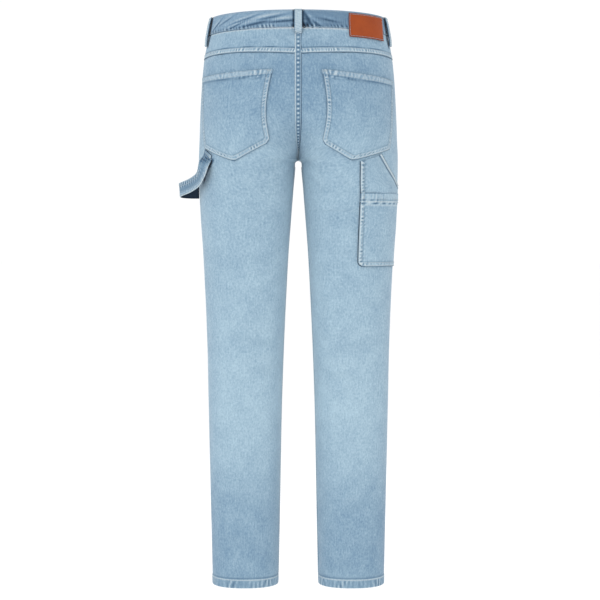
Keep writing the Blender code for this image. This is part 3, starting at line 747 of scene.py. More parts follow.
@dataclass(frozen=True)
class SewingThread:
    """Cotton-wrapped polyester thread, washed to a pale grey blue, with a soft gleam."""

    name: str = "core_spun_sewing_thread"
    light: str = "#B4C1C6"
    dark: str = "#8FA3B0"

    def build(self) -> bpy.types.Material:
        """The material."""
        material, tree, shader = new_material(self.name)
        where = add_node(tree, "ShaderNodeTexCoord")
        # Dye unevenness along the thread, about 12 mm long
        noise = add_node(tree, "ShaderNodeTexNoise", {"in:Scale": 85.0, "in:Detail": 2.0}, {"Vector": where.outputs["Object"]})
        tree.links.new(mix_color(tree, noise.outputs["Fac"], srgb(self.dark), srgb(self.light)), shader.inputs["Base Color"])
        # Twist of the plies, 0.9 mm drawn
        twist = add_node(
            tree, "ShaderNodeTexWave", {"in:Scale": 180.0, "in:Distortion": 1.0, "bands_direction": "DIAGONAL"},
            {"Vector": where.outputs["Object"]},
        )
        bump = add_node(tree, "ShaderNodeBump", {"in:Strength": 0.4, "in:Distance": 0.1 * MM}, {"Height": twist.outputs["Fac"]})
        tree.links.new(bump.outputs[0], shader.inputs["Normal"])
        shader.inputs["Roughness"].default_value = 0.62
        shader.inputs["Sheen Weight"].default_value = 0.2
        return material


@dataclass(frozen=True)
class TannedLeather:
    """Split leather, tanned and drum dyed tan brown, with a fine grain and rubbed paler fields."""

    name: str = "drum_dyed_leather"
    deep: str = "#7A2D10"
    body: str = "#9C4517"
    rubbed: str = "#AE5019"

    def build(self) -> bpy.types.Material:
        """The material."""
        material, tree, shader = new_material(self.name)
        where = add_node(tree, "ShaderNodeTexCoord").outputs["Object"]
        clouds = add_node(tree, "ShaderNodeTexNoise", {"in:Scale": 42.0, "in:Detail": 3.0}, {"Vector": where})
        color = mix_color(tree, clouds.outputs["Fac"], srgb(self.deep), srgb(self.rubbed))
        fine = add_node(tree, "ShaderNodeTexNoise", {"in:Scale": 420.0, "in:Detail": 2.0}, {"Vector": where})
        color = mix_color(tree, math_node(tree, "MULTIPLY", fine.outputs["Fac"], 0.9), color, srgb(self.body))
        wear = add_node(tree, "ShaderNodeAttribute", {"attribute_name": "wear"}).outputs["Fac"]
        color = mix_color(tree, wear, color, srgb(self.deep))
        tree.links.new(color, shader.inputs["Base Color"])
        # Grain cells of about 1.2 mm
        cells = add_node(tree, "ShaderNodeTexVoronoi", {"in:Scale": 850.0}, {"Vector": where})
        bump = add_node(tree, "ShaderNodeBump", {"in:Strength": 0.35, "in:Distance": 0.15 * MM}, {"Height": cells.outputs["Distance"]})
        tree.links.new(bump.outputs[0], shader.inputs["Normal"])
        shader.inputs["Roughness"].default_value = 0.52
        shader.inputs["Specular IOR Level"].default_value = 0.25
        return material


@dataclass(frozen=True)
class AgedBrass:
    """Stamped brass, tumbled and darkened, so its rim gleams and its field stays dull."""

    name: str = "tumbled_brass"

    def build(self) -> bpy.types.Material:
        """The material."""
        material, tree, shader = new_material(self.name)
        where = add_node(tree, "ShaderNodeTexCoord").outputs["Object"]
        noise = add_node(tree, "ShaderNodeTexNoise", {"in:Scale": 300.0, "in:Detail": 3.0}, {"Vector": where})
        tree.links.new(mix_color(tree, noise.outputs["Fac"], srgb("#6E5A3E"), srgb("#B79A66")), shader.inputs["Base Color"])
        shader.inputs["Metallic"].default_value = 1.0
        rough = math_node(tree, "ADD", math_node(tree, "MULTIPLY", noise.outputs["Fac"], 0.25), 0.28)
        tree.links.new(rough, shader.inputs["Roughness"])
        return material


@dataclass(frozen=True)
class StudioPaper:
    """Matt white background paper."""

    name: str = "white_background_paper"

    def build(self) -> bpy.types.Material:
        """The material."""
        material, tree, shader = new_material(self.name)
        where = add_node(tree, "ShaderNodeTexCoord").outputs["Object"]
        noise = add_node(tree, "ShaderNodeTexNoise", {"in:Scale": 3.0}, {"Vector": where})
        tree.links.new(mix_color(tree, noise.outputs["Fac"], srgb("#FDFDFD"), srgb("#FFFFFF")), shader.inputs["Base Color"])
        shader.inputs["Roughness"].default_value = 0.9
        return material


@dataclass(frozen=True)
class Finishes:
    """The materials that the pieces share."""

    denim: bpy.types.Material
    band: bpy.types.Material
    thread: bpy.types.Material
    leather: bpy.types.Material
    metal: bpy.types.Material

    @classmethod
    def make(cls) -> "Finishes":
        """Build every finish once."""
        band = WashedDenim(name="less_faded_denim_twill", deep="#5F7F9D", pale="#93AFC4", worn="#B5C6CF", shadow="#3D5973")
        return cls(
            WashedDenim().build(), band.build(), SewingThread().build(), TannedLeather().build(), AgedBrass().build(),
        )


# Sewing

@dataclass
class Stitching:
    """Rows of stitches and bar tacks, gathered into one mesh."""

    name: str
    pitch: float = 3.3 * MM
    stitch: float = 2.5 * MM
    radius: float = 0.42 * MM
    bodies: list[Array] = field(default_factory=list)

    def capsules(self, starts: Array, ends: Array, outward: Array, radius: Optional[float] = None) -> None:
        """Add one stitch from each start to its end.

        Args:
            starts: Where the stitches come up.
            ends: Where they go down.
            outward: Unit directions out of the cloth.
            radius: Thread radius.
        """
        radius = radius or self.radius
        axis = unit(ends - starts)
        beside = unit(np.cross(outward, axis))
        up = np.cross(axis, beside)
        rings = []
        for share, out in ((0.18, 1.0), (0.82, 1.0)):
            middle = starts + (ends - starts) * share
            for k in range(5):
                turn = 2 * math.pi * k / 5
                rings.append(middle + out * radius * (beside * math.cos(turn) + up * (math.sin(turn) + 0.25)))
        tips = [starts - up * 0.5 * radius, ends - up * 0.5 * radius]
        self.bodies.append(np.stack([tips[0], *rings, tips[1]], axis=1))

    def path(self, points: Array, outward: Array) -> None:
        """Sew along a line of points on the cloth's outer side."""
        run = np.concatenate([[0.0], np.cumsum(np.linalg.norm(np.diff(points, axis=0), axis=1))])
        count = int(run[-1] / self.pitch)
        if count < 1:
            return
        middles = (np.arange(count) + 0.5) * run[-1] / count

        def at(values: Array, place: Array) -> Array:
            """Values along the line."""
            return np.stack([np.interp(place, run, values[:, k]) for k in range(3)], axis=-1)

        self.capsules(at(points, middles - self.stitch / 2), at(points, middles + self.stitch / 2), unit(at(outward, middles)))

    def row(self, side: int, face: Face, along: Array, z: Array, lift: Any) -> None:
        """Sew along a line given on the trousers' surface."""
        outward = FORM.outward(side, face, along, z)
        points = FORM.point(side, face, along, z) + outward * np.broadcast_to(lift, np.shape(z))[..., None]
        self.path(points, outward)

    def tack(self, side: int, face: Face, along: float, z: float, slope: float, lift: float, length: float = 9 * MM) -> None:
        """A bar tack: threads laid close together across a short line."""
        turn = math.radians(slope)
        places = np.linspace(-0.5, 0.5, 16) * length
        half = 1.0 * MM
        ends = []
        for sign in (-1, 1):
            a = along + places * math.cos(turn) - sign * half * math.sin(turn)
            h = z + places * math.sin(turn) + sign * half * math.cos(turn)
            ends.append(FORM.lifted(side, face, a, h, np.full(16, lift)))
        outward = FORM.outward(side, face, along + places * math.cos(turn), z + places * math.sin(turn))
        self.capsules(ends[0], ends[1], outward, 0.36 * MM)

    def build(self, finishes: Finishes) -> Optional[bpy.types.Object]:
        """Join the stitches into one piece."""
        if not self.bodies:
            return None
        points = np.concatenate(self.bodies)
        first = (np.arange(len(points)) * 12)[:, None]
        faces: list[tuple[int, ...]] = []
        for k in range(5):
            n = (k + 1) % 5
            faces += (first + np.array([0, 1 + n, 1 + k])).tolist()
            faces += (first + np.array([1 + k, 1 + n, 6 + n, 6 + k])).tolist()
            faces += (first + np.array([6 + k, 6 + n, 11])).tolist()
        piece = mesh_object(self.name, points, faces, finishes.thread)
        return Tailor.fit(piece, Slot.THREAD, ())


def washed(z: Array, share: Array) -> Array:
    """How far the cloth is washed out at a height and a share of the way from the side seam, painted fill light
    included.
    """
    rows = WASH_AND_LIGHT[::-1]
    levels = np.array([row.z for row in rows])
    outer, middle, inner = (np.interp(z, levels, [getattr(row, n) for row in rows]) for n in ("outer", "middle", "inner"))
    share = np.clip(share, 0.0, 1.0)
    to_middle, to_inner = smooth_step(share / 0.40), smooth_step((share - 0.60) / 0.38)
    return outer * (1 - to_middle) + middle * (to_middle - to_inner) + inner * to_inner


# Panels

@dataclass
class LegPanel:
    """The front or back of one leg, from the hem up to the yoke or the waistband."""

    side: int
    face: Face
    hem_z: float = -1.128
    hem_depth: float = 18 * MM
    wall: float = 1.3 * MM
    half_gap: float = 0.15 * MM
    scoop_width: float = 0.105
    scoop_depth: float = 0.080
    row_step: float = 4.0 * MM
    # Painted shadow of the hammer loop on the leg, along the loop's near edge
    loop_shade: tuple[tuple[float, float], ...] = (
        (0.1050, -0.2868), (0.0964, -0.2940), (0.0869, -0.3034), (0.0768, -0.3138), (0.0674, -0.3253), (0.0603, -0.3368),
        (0.0674, -0.3253), (0.0768, -0.3138), (0.0869, -0.3034), (0.0964, -0.2940),
    )

    @property
    def name(self) -> str:
        """The CAD node's name."""
        return f"{self.face.value}_{'right' if self.side > 0 else 'left'}"

    def row_heights(self) -> tuple[Array, Array]:
        """Heights of the rows at the side seam and at the inner edge, up to the seat."""
        hem = self.hem_z + MM * np.array([0, 0.35, 0.8, 1.4, 2.2, 3.4, 5, 7, 9, 11, 13, 14.5, 15.6, 16.5, 17.3, 18.1, 19, 20.5, 23])
        crotch = FORM.crotch_z
        leg = np.linspace(hem[-1], crotch - 0.030, int((crotch - 0.030 - hem[-1]) / self.row_step))[1:]
        below = np.linspace(leg[-1], crotch - FORM.crotch_round, 8)[1:-1]
        turned = crotch - FORM.crotch_round * (1 - np.cos(np.radians(np.linspace(90, 8, 10))))
        above = crotch + 0.070 * (np.arange(19) / 18) ** 2.2
        fork = np.concatenate([below, turned, above])
        inner = np.concatenate([hem, leg, fork])
        outer = np.concatenate([hem, leg, np.linspace(leg[-1], fork[-1], len(fork) + 1)[1:]])
        return outer, inner

    def scoop_along(self, z: Array) -> Array:
        """Edge of the front pocket's opening."""
        drop = np.clip((FORM.band_seam_z(Face.FRONT, 0.4) - z) / self.scoop_depth, 0.0, 1.0)
        return self.scoop_width * np.sqrt(1 - drop**2)

    def grid(self) -> tuple[Array, Array, Array]:
        """Distance from the side seam, height and share of the width at each point."""
        u = spaced(0.25, 5.0 * MM, EDGE_STEPS)[None, :]
        outer, inner = self.row_heights()
        mix = smooth_step((u - 0.35) / 0.65)
        z = outer[:, None] + (inner - outer)[:, None] * mix
        if self.face is Face.BACK:
            top = FORM.yoke_seam_z(u) - self.half_gap
            up = np.concatenate([spaced(0.12, self.row_step, EDGE_STEPS)[1:]])[:, None]
            z = np.concatenate([z, z[-1:] + (top - z[-1:]) * up])
            start = np.full(z.shape, self.half_gap)
        else:
            seam = FORM.waist_top_z - FORM.band_height
            reach = float(FORM.length(np.array(seam), self.face))
            share = u + self.scoop_width / reach * (1 - u) ** 2
            top = FORM.band_seam_z(self.face, share) - self.half_gap
            low = top - self.scoop_depth
            middle = z[-1:] + (low - z[-1:]) * np.linspace(0, 1, 16)[1:, None]
            turns = 90 * (np.arange(1, 31) / 30) ** 1.25
            z = np.concatenate([z, middle, top - self.scoop_depth * np.cos(np.radians(turns))[:, None]])
            start = np.maximum(self.half_gap, self.scoop_along(z))
        length = FORM.length(z, self.face) - self.half_gap
        steady = FORM.length(np.maximum(z, FORM.crotch_z + 0.060), self.face)
        body = np.where(z > FORM.crotch_z - 0.10, np.minimum(length, steady), length)
        along = body * u + start * (1 - u) ** 2 + (length - body) * smooth_step((u - 0.55) / 0.45)
        return along, z, np.broadcast_to(u, z.shape)

    def relief(self, along: Array, z: Array) -> tuple[Array, Array]:
        """Height, and worn paler cloth with painted shade, from seams, hem and creases."""
        seed = 3 + (self.side > 0) + 10 * (self.face is Face.FRONT)
        length = FORM.length(z, self.face)
        to_inner = length - along
        ripple = wander(z, 6.5 * MM, seed)
        height = -0.9 * MM * bell(along, 1.3 * MM) + 0.35 * MM * bell(along - 5 * MM, 4 * MM)
        height += 0.22 * MM * ripple * np.exp(-along / (7 * MM))
        # Painted shade: a dark line in the side seam's groove, beside paler worn ticks
        wear = (0.30 + 0.55 * ripple) * bell(along - 3 * MM, 3.5 * MM) - 0.5 * bell(along, 1.0 * MM)
        inner_ripple = wander(z, 6.0 * MM, seed + 40)
        leg = smooth_step((FORM.crotch_z - 0.004 - z) / 0.02)
        height += leg * (-0.6 * MM * bell(to_inner, 1.2 * MM) + 0.2 * MM * inner_ripple * np.exp(-to_inner / (7 * MM)))
        wear += leg * 0.35 * inner_ripple * bell(to_inner - 4 * MM, 5 * MM)
        # The hem is turned up twice, so it stands proud, and its edge ropes
        from_edge = z - self.hem_z
        proud = smooth_step((self.hem_depth + 0.8 * MM - from_edge) / (1.6 * MM))
        rope = wander(along + 0.12 * z, 7.5 * MM, seed + 20)
        height += MM * proud * (0.75 + 0.30 * rope * smooth_step(from_edge / (5 * MM)))
        height += rolled(from_edge, 1.0 * MM)
        height -= 0.30 * MM * bell(from_edge - (self.hem_depth - 2.2 * MM), 0.8 * MM)
        height += 0.18 * MM * rope * np.exp(-np.clip(from_edge - self.hem_depth, 0, None) / (5 * MM)) * (1 - proud)
        wear += proud * (-0.15 + 0.75 * rope) * smooth_step((self.hem_depth - 2.5 * MM - from_edge) / (2 * MM))
        wear += 0.5 * bell(from_edge, 1.2 * MM) + 0.9 * bell(from_edge - (self.hem_depth - 1.6 * MM), 1.2 * MM)
        # Painted shade: a dark line just above the hem's turned edge
        wear -= 0.9 * bell(from_edge - (self.hem_depth + 1.4 * MM), 1.2 * MM)
        creases = SEAT_CREASES if self.face is Face.BACK else LAP_CREASES
        shift = 0.010 * self.side
        calm = smooth_step(along / 0.02) * smooth_step(to_inner / 0.02) * smooth_step((from_edge - 0.02) / 0.02)
        folds = crease_relief(creases, along + shift, z + 0.6 * shift)
        height += calm * (folds + unevenness(along * self.side, z, seed + 60))
        # Painted shade: darker in the creases' troughs
        wear += calm * folds / MM * 0.10
        if self.face is Face.FRONT:
            drop = FORM.band_seam_z(self.face, 0.4) - z
            bow = np.sqrt((along / self.scoop_width) ** 2 + (drop / self.scoop_depth) ** 2)
            distance = np.hypot(along, drop) * (1 - 1 / np.maximum(bow, 1e-6))
            near = (drop < self.scoop_depth + 0.02) & (drop > -0.01)
            run = np.arctan2(drop, along) * 0.095
            lift, pale = double_seam(np.where(near, np.maximum(distance, 0), 1.0), run, seed + 30)
            height += lift
            wear += pale
        else:
            if self.side < 0:
                # Painted shadow of the hammer loop on the leg, along its near edge
                covered, _ = polygon_distance(along, z, self.loop_shade)
                wide = 1.2 * MM + 2.2 * MM * smooth_step((z + 0.315) / 0.02)
                wear = wear - 3.1 * bell(np.maximum(covered - wide, 0), 1.9 * MM) * smooth_step((z + 0.336) / 0.014)
            share = along / np.maximum(length, 1e-6)
            from_yoke = FORM.yoke_seam_z(np.clip(share, 0, 1)) - z
            height -= 0.5 * MM * bell(from_yoke, 1.5 * MM)
            height += 0.25 * MM * wander(along, 5.5 * MM, seed + 70) * np.exp(-np.clip(from_yoke, 0, None) / (5 * MM))
            # Painted shade: a dark line under the yoke's edge
            wear += 0.25 * wander(along, 5.5 * MM, seed + 70) * np.exp(-np.clip(from_yoke, 0, None) / (5 * MM)) - 0.6 * bell(from_yoke, 1.0 * MM)
        return height, wear

    def build(self, finishes: Finishes) -> bpy.types.Object:
        """Make the panel."""
        along, z, share = self.grid()
        base = FORM.point(self.side, self.face, along, z)
        normals = grid_normals(base)
        rows, columns = base.shape[0] // 2, base.shape[1] // 2
        inside = np.array([self.side * 0.1, 0.0, base[rows, columns, 2]])
        if normals[rows, columns] @ (base[rows, columns] - inside) < 0:
            normals = -normals
        height, wear = self.relief(along, z)
        points = base + normals * height[..., None]
        points[..., 0] = self.side * np.maximum(self.side * points[..., 0], self.half_gap)
        fade = washed(z, share)
        cloth = Cloth(points, normals, np.stack([0.24 * share * self.side, z + 0.0 * share], -1), fade, wear)
        piece = Tailor.wall(f"cloth_{self.name}", cloth, self.wall, finishes.denim)
        return Tailor.fit(piece, Slot.DENIM, [self.name], cloth)


@dataclass
class LaidPiece:
    """A piece of cloth that lies on the trousers' surface, worked out from its four edges."""

    node: str
    side: int
    face: Face
    lift: float
    wall: float = 1.3 * MM
    step: float = 3.0 * MM
    seed: int = 1
    slot: Slot = Slot.DENIM
    tone: float = 0.0

    def size(self) -> tuple[float, float]:
        """About how wide and how tall the piece is."""
        raise NotImplementedError

    def edges(self, u: Array, v: Array) -> tuple[Array, Array]:
        """Distance from the side seam and height at shares of width and height."""
        raise NotImplementedError

    def relief(self, u: Array, v: Array, along: Array, z: Array) -> tuple[Array, Array]:
        """Height and wear."""
        raise NotImplementedError

    def sew(self, thread: Stitching) -> None:
        """Add the piece's stitches."""

    def rests_on(self) -> list[str]:
        """The nodes that it lies on."""
        return [f"{self.face.value}_{'right' if self.side > 0 else 'left'}"]

    def fade(self, along: Array, z: Array) -> Array:
        """How far the piece is washed out, painted fill light included."""
        return washed(z, along / FORM.length(z, self.face)) + self.tone

    def line(self, us: Any, vs: Any, inset: float, count: int = 120) -> tuple[Array, Array]:
        """A line across the piece from one pair of shares to another, as distances and heights."""
        u = np.linspace(us[0], us[1], count)
        v = np.linspace(vs[0], vs[1], count)
        return self.edges(u, v)

    def build(self, finishes: Finishes, thread: Stitching) -> bpy.types.Object:
        """Make the piece and its sewing."""
        width, height = self.size()
        u = spaced(width, self.step, EDGE_STEPS)[None, :]
        v = spaced(height, self.step, EDGE_STEPS)[:, None]
        u, v = np.broadcast_arrays(u, v)
        along, z = self.edges(u, v)
        outward = FORM.outward(self.side, self.face, along, z)
        relief, wear = self.relief(u, v, along, z)
        points = FORM.point(self.side, self.face, along, z) + outward * (self.lift + relief)[..., None]
        place = np.stack([u * width + 0.37 * self.seed, v * height], -1)
        cloth = Cloth(points, outward, place, self.fade(along, z), wear)
        material = {Slot.DENIM: finishes.denim, Slot.BAND: finishes.band, Slot.LEATHER: finishes.leather}[self.slot]
        piece = Tailor.wall(f"cloth_{self.node}", cloth, self.wall, material)
        self.sew(thread)
        return Tailor.fit(piece, self.slot, [self.node], cloth, self.rests_on(), held="laid")


def polygon_distance(along: Array, z: Array, corners: Sequence[tuple[float, float]]) -> tuple[Array, Array]:
    """Distance to the nearest edge of an outline, and the run along it."""
    best = np.full(along.shape, np.inf)
    run = np.zeros(along.shape)
    walked = 0.0
    for (a0, z0), (a1, z1) in zip(corners, list(corners[1:]) + [corners[0]]):
        length = math.hypot(a1 - a0, z1 - z0)
        t = np.clip(((along - a0) * (a1 - a0) + (z - z0) * (z1 - z0)) / length**2, 0.0, 1.0)
        distance = np.hypot(along - a0 - t * (a1 - a0), z - z0 - t * (z1 - z0))
        nearer = distance < best
        best = np.where(nearer, distance, best)
        run = np.where(nearer, walked + t * length, run)
        walked += length
    return best, run


@dataclass
class BackPocket(LaidPiece):
    """A patch pocket with a pointed bottom, a folded top and two rows of stitches round it."""

    hem: float = 12 * MM

    def corners(self) -> dict[str, tuple[float, float]]:
        """The pocket's corners: distance from the side seam and height."""
        if self.side > 0:
            return {
                "top_outer": (0.0436, -0.1290), "top_inner": (0.2120, -0.1127), "low_inner": (0.2434, -0.2503),
                "tip": (0.1700, -0.2870), "low_outer": (0.0937, -0.2633),
            }
        return {
            "top_outer": (0.0313, -0.1215), "top_inner": (0.2084, -0.1121), "low_inner": (0.2346, -0.2492),
            "tip": (0.1500, -0.2880), "low_outer": (0.0841, -0.2602),
        }

    def size(self) -> tuple[float, float]:
        """About how wide and how tall the piece is."""
        return 0.150, 0.160

    def edges(self, u: Array, v: Array) -> tuple[Array, Array]:
        """Distance from the side seam and height at shares of width and height."""
        c = self.corners()
        outer, tip, inner = c["low_outer"], c["tip"], c["low_inner"]
        tip_share = (tip[0] - outer[0]) / (inner[0] - outer[0])
        point = np.abs(u - tip_share)
        soft = np.sqrt(point**2 + 0.03**2) - 0.03
        slope_out = (tip[1] - outer[1]) / tip_share
        slope_in = (inner[1] - tip[1]) / (1 - tip_share)
        bottom = tip[1] + np.where(u < tip_share, -slope_out, slope_in) * soft
        # The lower inner corner is cut round
        bottom = bottom + 6 * MM * smooth_step((u - 0.93) / 0.07) ** 2
        top = c["top_outer"][1] + (c["top_inner"][1] - c["top_outer"][1]) * u
        z = bottom + (top - bottom) * v

        def at(low: tuple[float, float], high: tuple[float, float]) -> Array:
            """Place on a side edge at height z."""
            return low[0] + (high[0] - low[0]) * (z - low[1]) / (high[1] - low[1])

        start, end = at(c["low_outer"], c["top_outer"]), at(c["low_inner"], c["top_inner"])
        bow = 3.0 * MM * np.sin(math.pi * v)
        return start + (end - start) * u - bow * u, z

    def outline(self) -> list[tuple[float, float]]:
        """The pocket's edge as a closed line of corners, from the top outer one down and round."""
        points = []
        for us, vs in (((0, 0), (1, 0)), ((0, 1), (0, 0)), ((1, 1), (0, 1)), ((1, 0), (1, 1))):
            u, v = np.linspace(us[0], us[1], 16)[:-1], np.linspace(vs[0], vs[1], 16)[:-1]
            along, z = self.edges(u, v)
            points += list(zip(along.tolist(), z.tolist()))
        return points

    def relief(self, u: Array, v: Array, along: Array, z: Array) -> tuple[Array, Array]:
        """Height and wear."""
        points = self.outline()
        distance, run = polygon_distance(along, z, points[:45])
        height, wear = double_seam(distance, run, self.seed)
        length = 0.150
        from_top = (1 - v) * length
        fold = wander(along, 6 * MM, self.seed + 5)
        band = smooth_step((self.hem + 0.8 * MM - from_top) / (1.6 * MM))
        rows = bell(from_top - 1.9 * MM, 0.8 * MM) + bell(from_top - (self.hem - 1.6 * MM), 0.8 * MM)
        keep = 1 - band
        height = height * keep + band * (0.85 + 0.25 * fold) * MM - 0.3 * MM * rows + rolled(from_top, 0.8 * MM)
        shade = 0.35 + 0.5 * smooth_step((u - 0.25) / 0.5)
        # Painted shade: the top edge and a line under the folded top are darkened, deeper towards the inner side
        wear = wear * keep + band * (0.30 + 0.75 * shade * fold) - 0.9 * bell(from_top, 1.1 * MM)
        wear = wear - (1.1 + 0.5 * shade) * bell(from_top - self.hem - 1.2 * MM, 1.4 * MM)
        height = height + rolled(distance, 0.8 * MM)
        body = smooth_step(distance / 0.02) * smooth_step((from_top - self.hem) / 0.02)
        height = height + body * 2.2 * unevenness(along, z, self.seed + 9)
        return height, wear

    def sew(self, thread: Stitching) -> None:
        """Two rows round three sides, two along the folded top, and bar tacks at its ends."""
        width, height = self.size()
        proud = self.lift + 0.45 * MM
        for inset in (1.9 * MM, 8.0 * MM):
            a, b = inset / width, inset / height
            legs = (((a, a), (1, b)), ((a, 1 - a), (b, b)), ((1 - a, 1 - a), (b, 1)))
            for us, vs in legs:
                along, z = self.edges(np.linspace(*us, 90), np.linspace(*vs, 90))
                thread.row(self.side, self.face, along, z, proud)
        for inset in (1.9 * MM, self.hem - 1.6 * MM):
            along, z = self.edges(np.linspace(0.02, 0.98, 90), np.full(90, 1 - inset / height))
            thread.row(self.side, self.face, along, z, self.lift + 0.75 * MM)
        for u in (0.035, 0.965):
            along, z = self.edges(np.array([u]), np.array([1 - 5 * MM / height]))
            thread.tack(self.side, self.face, float(along[0]), float(z[0]), 0.0, self.lift + 1.1 * MM, 8 * MM)


@dataclass
class ToolPocket(LaidPiece):
    """One layer of the tool pocket on the right leg."""

    tall: bool = True
    low_z: float = -0.4925
    short_z: float = -0.3490
    slant_z: float = -0.3340
    slant_bow: float = 0.53
    top_along: float = 0.1183
    top_z: float = -0.2738
    tip_z: float = -0.2893
    corner: float = 10 * MM

    def size(self) -> tuple[float, float]:
        """About how wide and how tall the piece is."""
        return (0.125, 0.205) if self.tall else (0.125, 0.135)

    def back_along(self, z: Array) -> Array:
        """The back edge's distance from the side seam."""
        place = np.interp(z, [self.low_z, self.short_z, self.tip_z], [0.128, 0.148, 0.164])
        corner = np.clip((self.low_z + self.corner - z) / self.corner, 0.0, 1.0)
        return place - self.corner * (1 - np.sqrt(1 - corner**2))

    def edges(self, u: Array, v: Array) -> tuple[Array, Array]:
        """Distance from the side seam and height at shares of width and height."""
        top = self.top_z + (self.tip_z - self.top_z) * u if self.tall else np.full(np.shape(u), self.short_z)
        z = self.low_z + (top - self.low_z) * v
        start = self.front_along(z)
        return start + (self.back_along(z) - start) * u, z

    def front_along(self, z: Array) -> Array:
        """The front edge's distance from the side seam: along the seam, then the slanted mouth."""
        slant = np.clip((z - self.slant_z) / (self.top_z - self.slant_z), 0.0, None)
        return 0.8 * MM + self.top_along * slant**self.slant_bow

    def relief(self, u: Array, v: Array, along: Array, z: Array) -> tuple[Array, Array]:
        """Height and wear."""
        from_back = np.maximum(self.back_along(z) - along, 0.0)
        from_low = z - self.low_z
        corner = self.corner
        inside = (from_back < corner) & (from_low < corner)
        rounded = corner - np.hypot(corner - from_back, corner - from_low)
        from_edge = np.where(inside, np.maximum(rounded, 0.0), np.minimum(from_back, from_low))
        run = np.where(from_back < from_low, z, -along)
        height, wear = double_seam(from_edge, run, self.seed)
        if self.tall:
            rise = np.linspace(0, 1, 80) ** 2
            mouth_z = self.slant_z + (self.top_z - self.slant_z) * rise
            line = np.stack([self.front_along(mouth_z), mouth_z], -1)
            gaps = np.hypot(along[..., None] - line[:, 0], z[..., None] - line[:, 1])
            mouth = np.where(z > self.slant_z - 0.01, gaps.min(-1), 1.0)
            height = height + 0.25 * MM * smooth_step((7 * MM - mouth) / (2 * MM))
            near = mouth < 0.5
            # Painted shade: a dark line at the mouth's rolled edge and another inside it, with a pale line between
            wear = wear + near * (1.6 * bell(mouth - 3.0 * MM, 1.7 * MM) - 2.4 * bell(mouth, 1.2 * MM))
            wear = wear - near * 1.5 * bell(mouth - 6.6 * MM, 1.4 * MM)
            height = height + rolled(mouth, 0.8 * MM)
        else:
            from_top = self.short_z - z
            fold = wander(along, 7 * MM, self.seed + 5)
            band = smooth_step((19 * MM - from_top) / (1.6 * MM))
            rows = bell(from_top - 15 * MM, 0.9 * MM)
            height = height * (1 - band) + band * (0.5 + 0.25 * fold) * MM - 0.35 * MM * rows + rolled(from_top, 0.8 * MM)
            dashes = 1.0 + 1.1 * wander(along, 17 * MM, self.seed + 6)
            lower = 0.6 + 0.9 * wander(along, 23 * MM, self.seed + 8)
            # Painted shade: the short layer's top edge and lines under its hem are darkened, between paler worn lines
            wear = wear * (1 - band) + band * (0.18 + 0.45 * fold) - (0.6 + 0.9 * smooth_step((along - 0.05) / 0.07)) * bell(from_top, 1.3 * MM)
            wear = wear - dashes * bell(from_top - 14.6 * MM, 1.4 * MM) - lower * bell(from_top - 20.0 * MM, 1.3 * MM)
            wear = wear + 0.9 * bell(from_top - 17.3 * MM, 1.1 * MM) + 0.55 * bell(from_top - 23.0 * MM, 1.6 * MM)
        # Painted shade: a dark line along the rolled back edge
        wear = wear - 1.8 * bell(from_back, 1.9 * MM) + 0.8 * bell(from_back - 4.2 * MM, 1.5 * MM)
        knots = np.sin(2 * math.pi * z / (8.4 * MM) + 1.3 * np.sin(z / 0.017)) * (0.75 + 0.25 * np.sin(z / 0.011))
        wear = wear + (1.1 * knots - 0.35) * bell(from_back - 7.2 * MM, 2.2 * MM) - 0.5 * knots * bell(from_back - 12 * MM, 2 * MM)
        height = height + rolled(from_edge, 0.8 * MM)
        body = smooth_step(from_edge / 0.02) * smooth_step(along / 0.02)
        # The seam presses the layers flat
        height = height - (0.4 if self.tall else 0.9) * MM * smooth_step(1 - along / (52 * MM))
        return height + body * 1.5 * unevenness(along, z, self.seed + 9), wear

    def sew(self, thread: Stitching) -> None:
        """Rows down the back edge and along the bottom, and along the mouth."""
        width, height = self.size()
        top = 0.985 if self.tall else 1 - 0.002 / height
        if self.tall:
            top = 0.985
        for inset in (1.9 * MM, 8.0 * MM):
            z = np.linspace(self.low_z + self.corner + 0.001, self.short_z + 0.001, 90)
            if self.tall:
                z = np.linspace(self.short_z + 0.002, self.tip_z - 0.003, 90)
            thread.row(self.side, self.face, self.back_along(z) - inset, z, self.lift + 0.45 * MM)
            if self.tall:
                z = self.slant_z + (self.top_z - self.slant_z) * np.linspace(0.10, 0.98, 90) ** 1.6
                slope_a, slope_z = np.gradient(self.front_along(z)), np.gradient(z)
                size = np.hypot(slope_a, slope_z)
                along = self.front_along(z) + inset * 0.8 * slope_z / size
                thread.row(self.side, self.face, along, z - inset * 0.8 * slope_a / size, self.lift + 0.45 * MM)
            else:
                turn = np.linspace(0, math.pi / 2, 20)
                radius = self.corner - inset
                along = self.back_along(np.array(self.low_z + self.corner)) - self.corner + radius * np.cos(turn)
                thread.row(self.side, self.face, along, self.low_z + self.corner - radius * np.sin(turn), self.lift + 0.45 * MM)
                along = np.linspace(float(along[-1]), 1.5 * MM, 90)
                thread.row(self.side, self.face, along, np.full(90, self.low_z + inset), self.lift + 0.45 * MM)
        if not self.tall:
            for drop in (12.0 * MM, 17.3 * MM):
                z = np.full(90, self.short_z - drop)
                thread.row(self.side, self.face, np.linspace(2 * MM, 0.146, 90), z, self.lift + 0.45 * MM)
            thread.tack(self.side, self.face, 0.139, self.short_z - 7.5 * MM, 90.0, self.lift + 0.8 * MM)

    def rests_on(self) -> list[str]:
        """The nodes that it lies on."""
        return ["back_right"] if self.tall else ["tool_pocket_tall"]


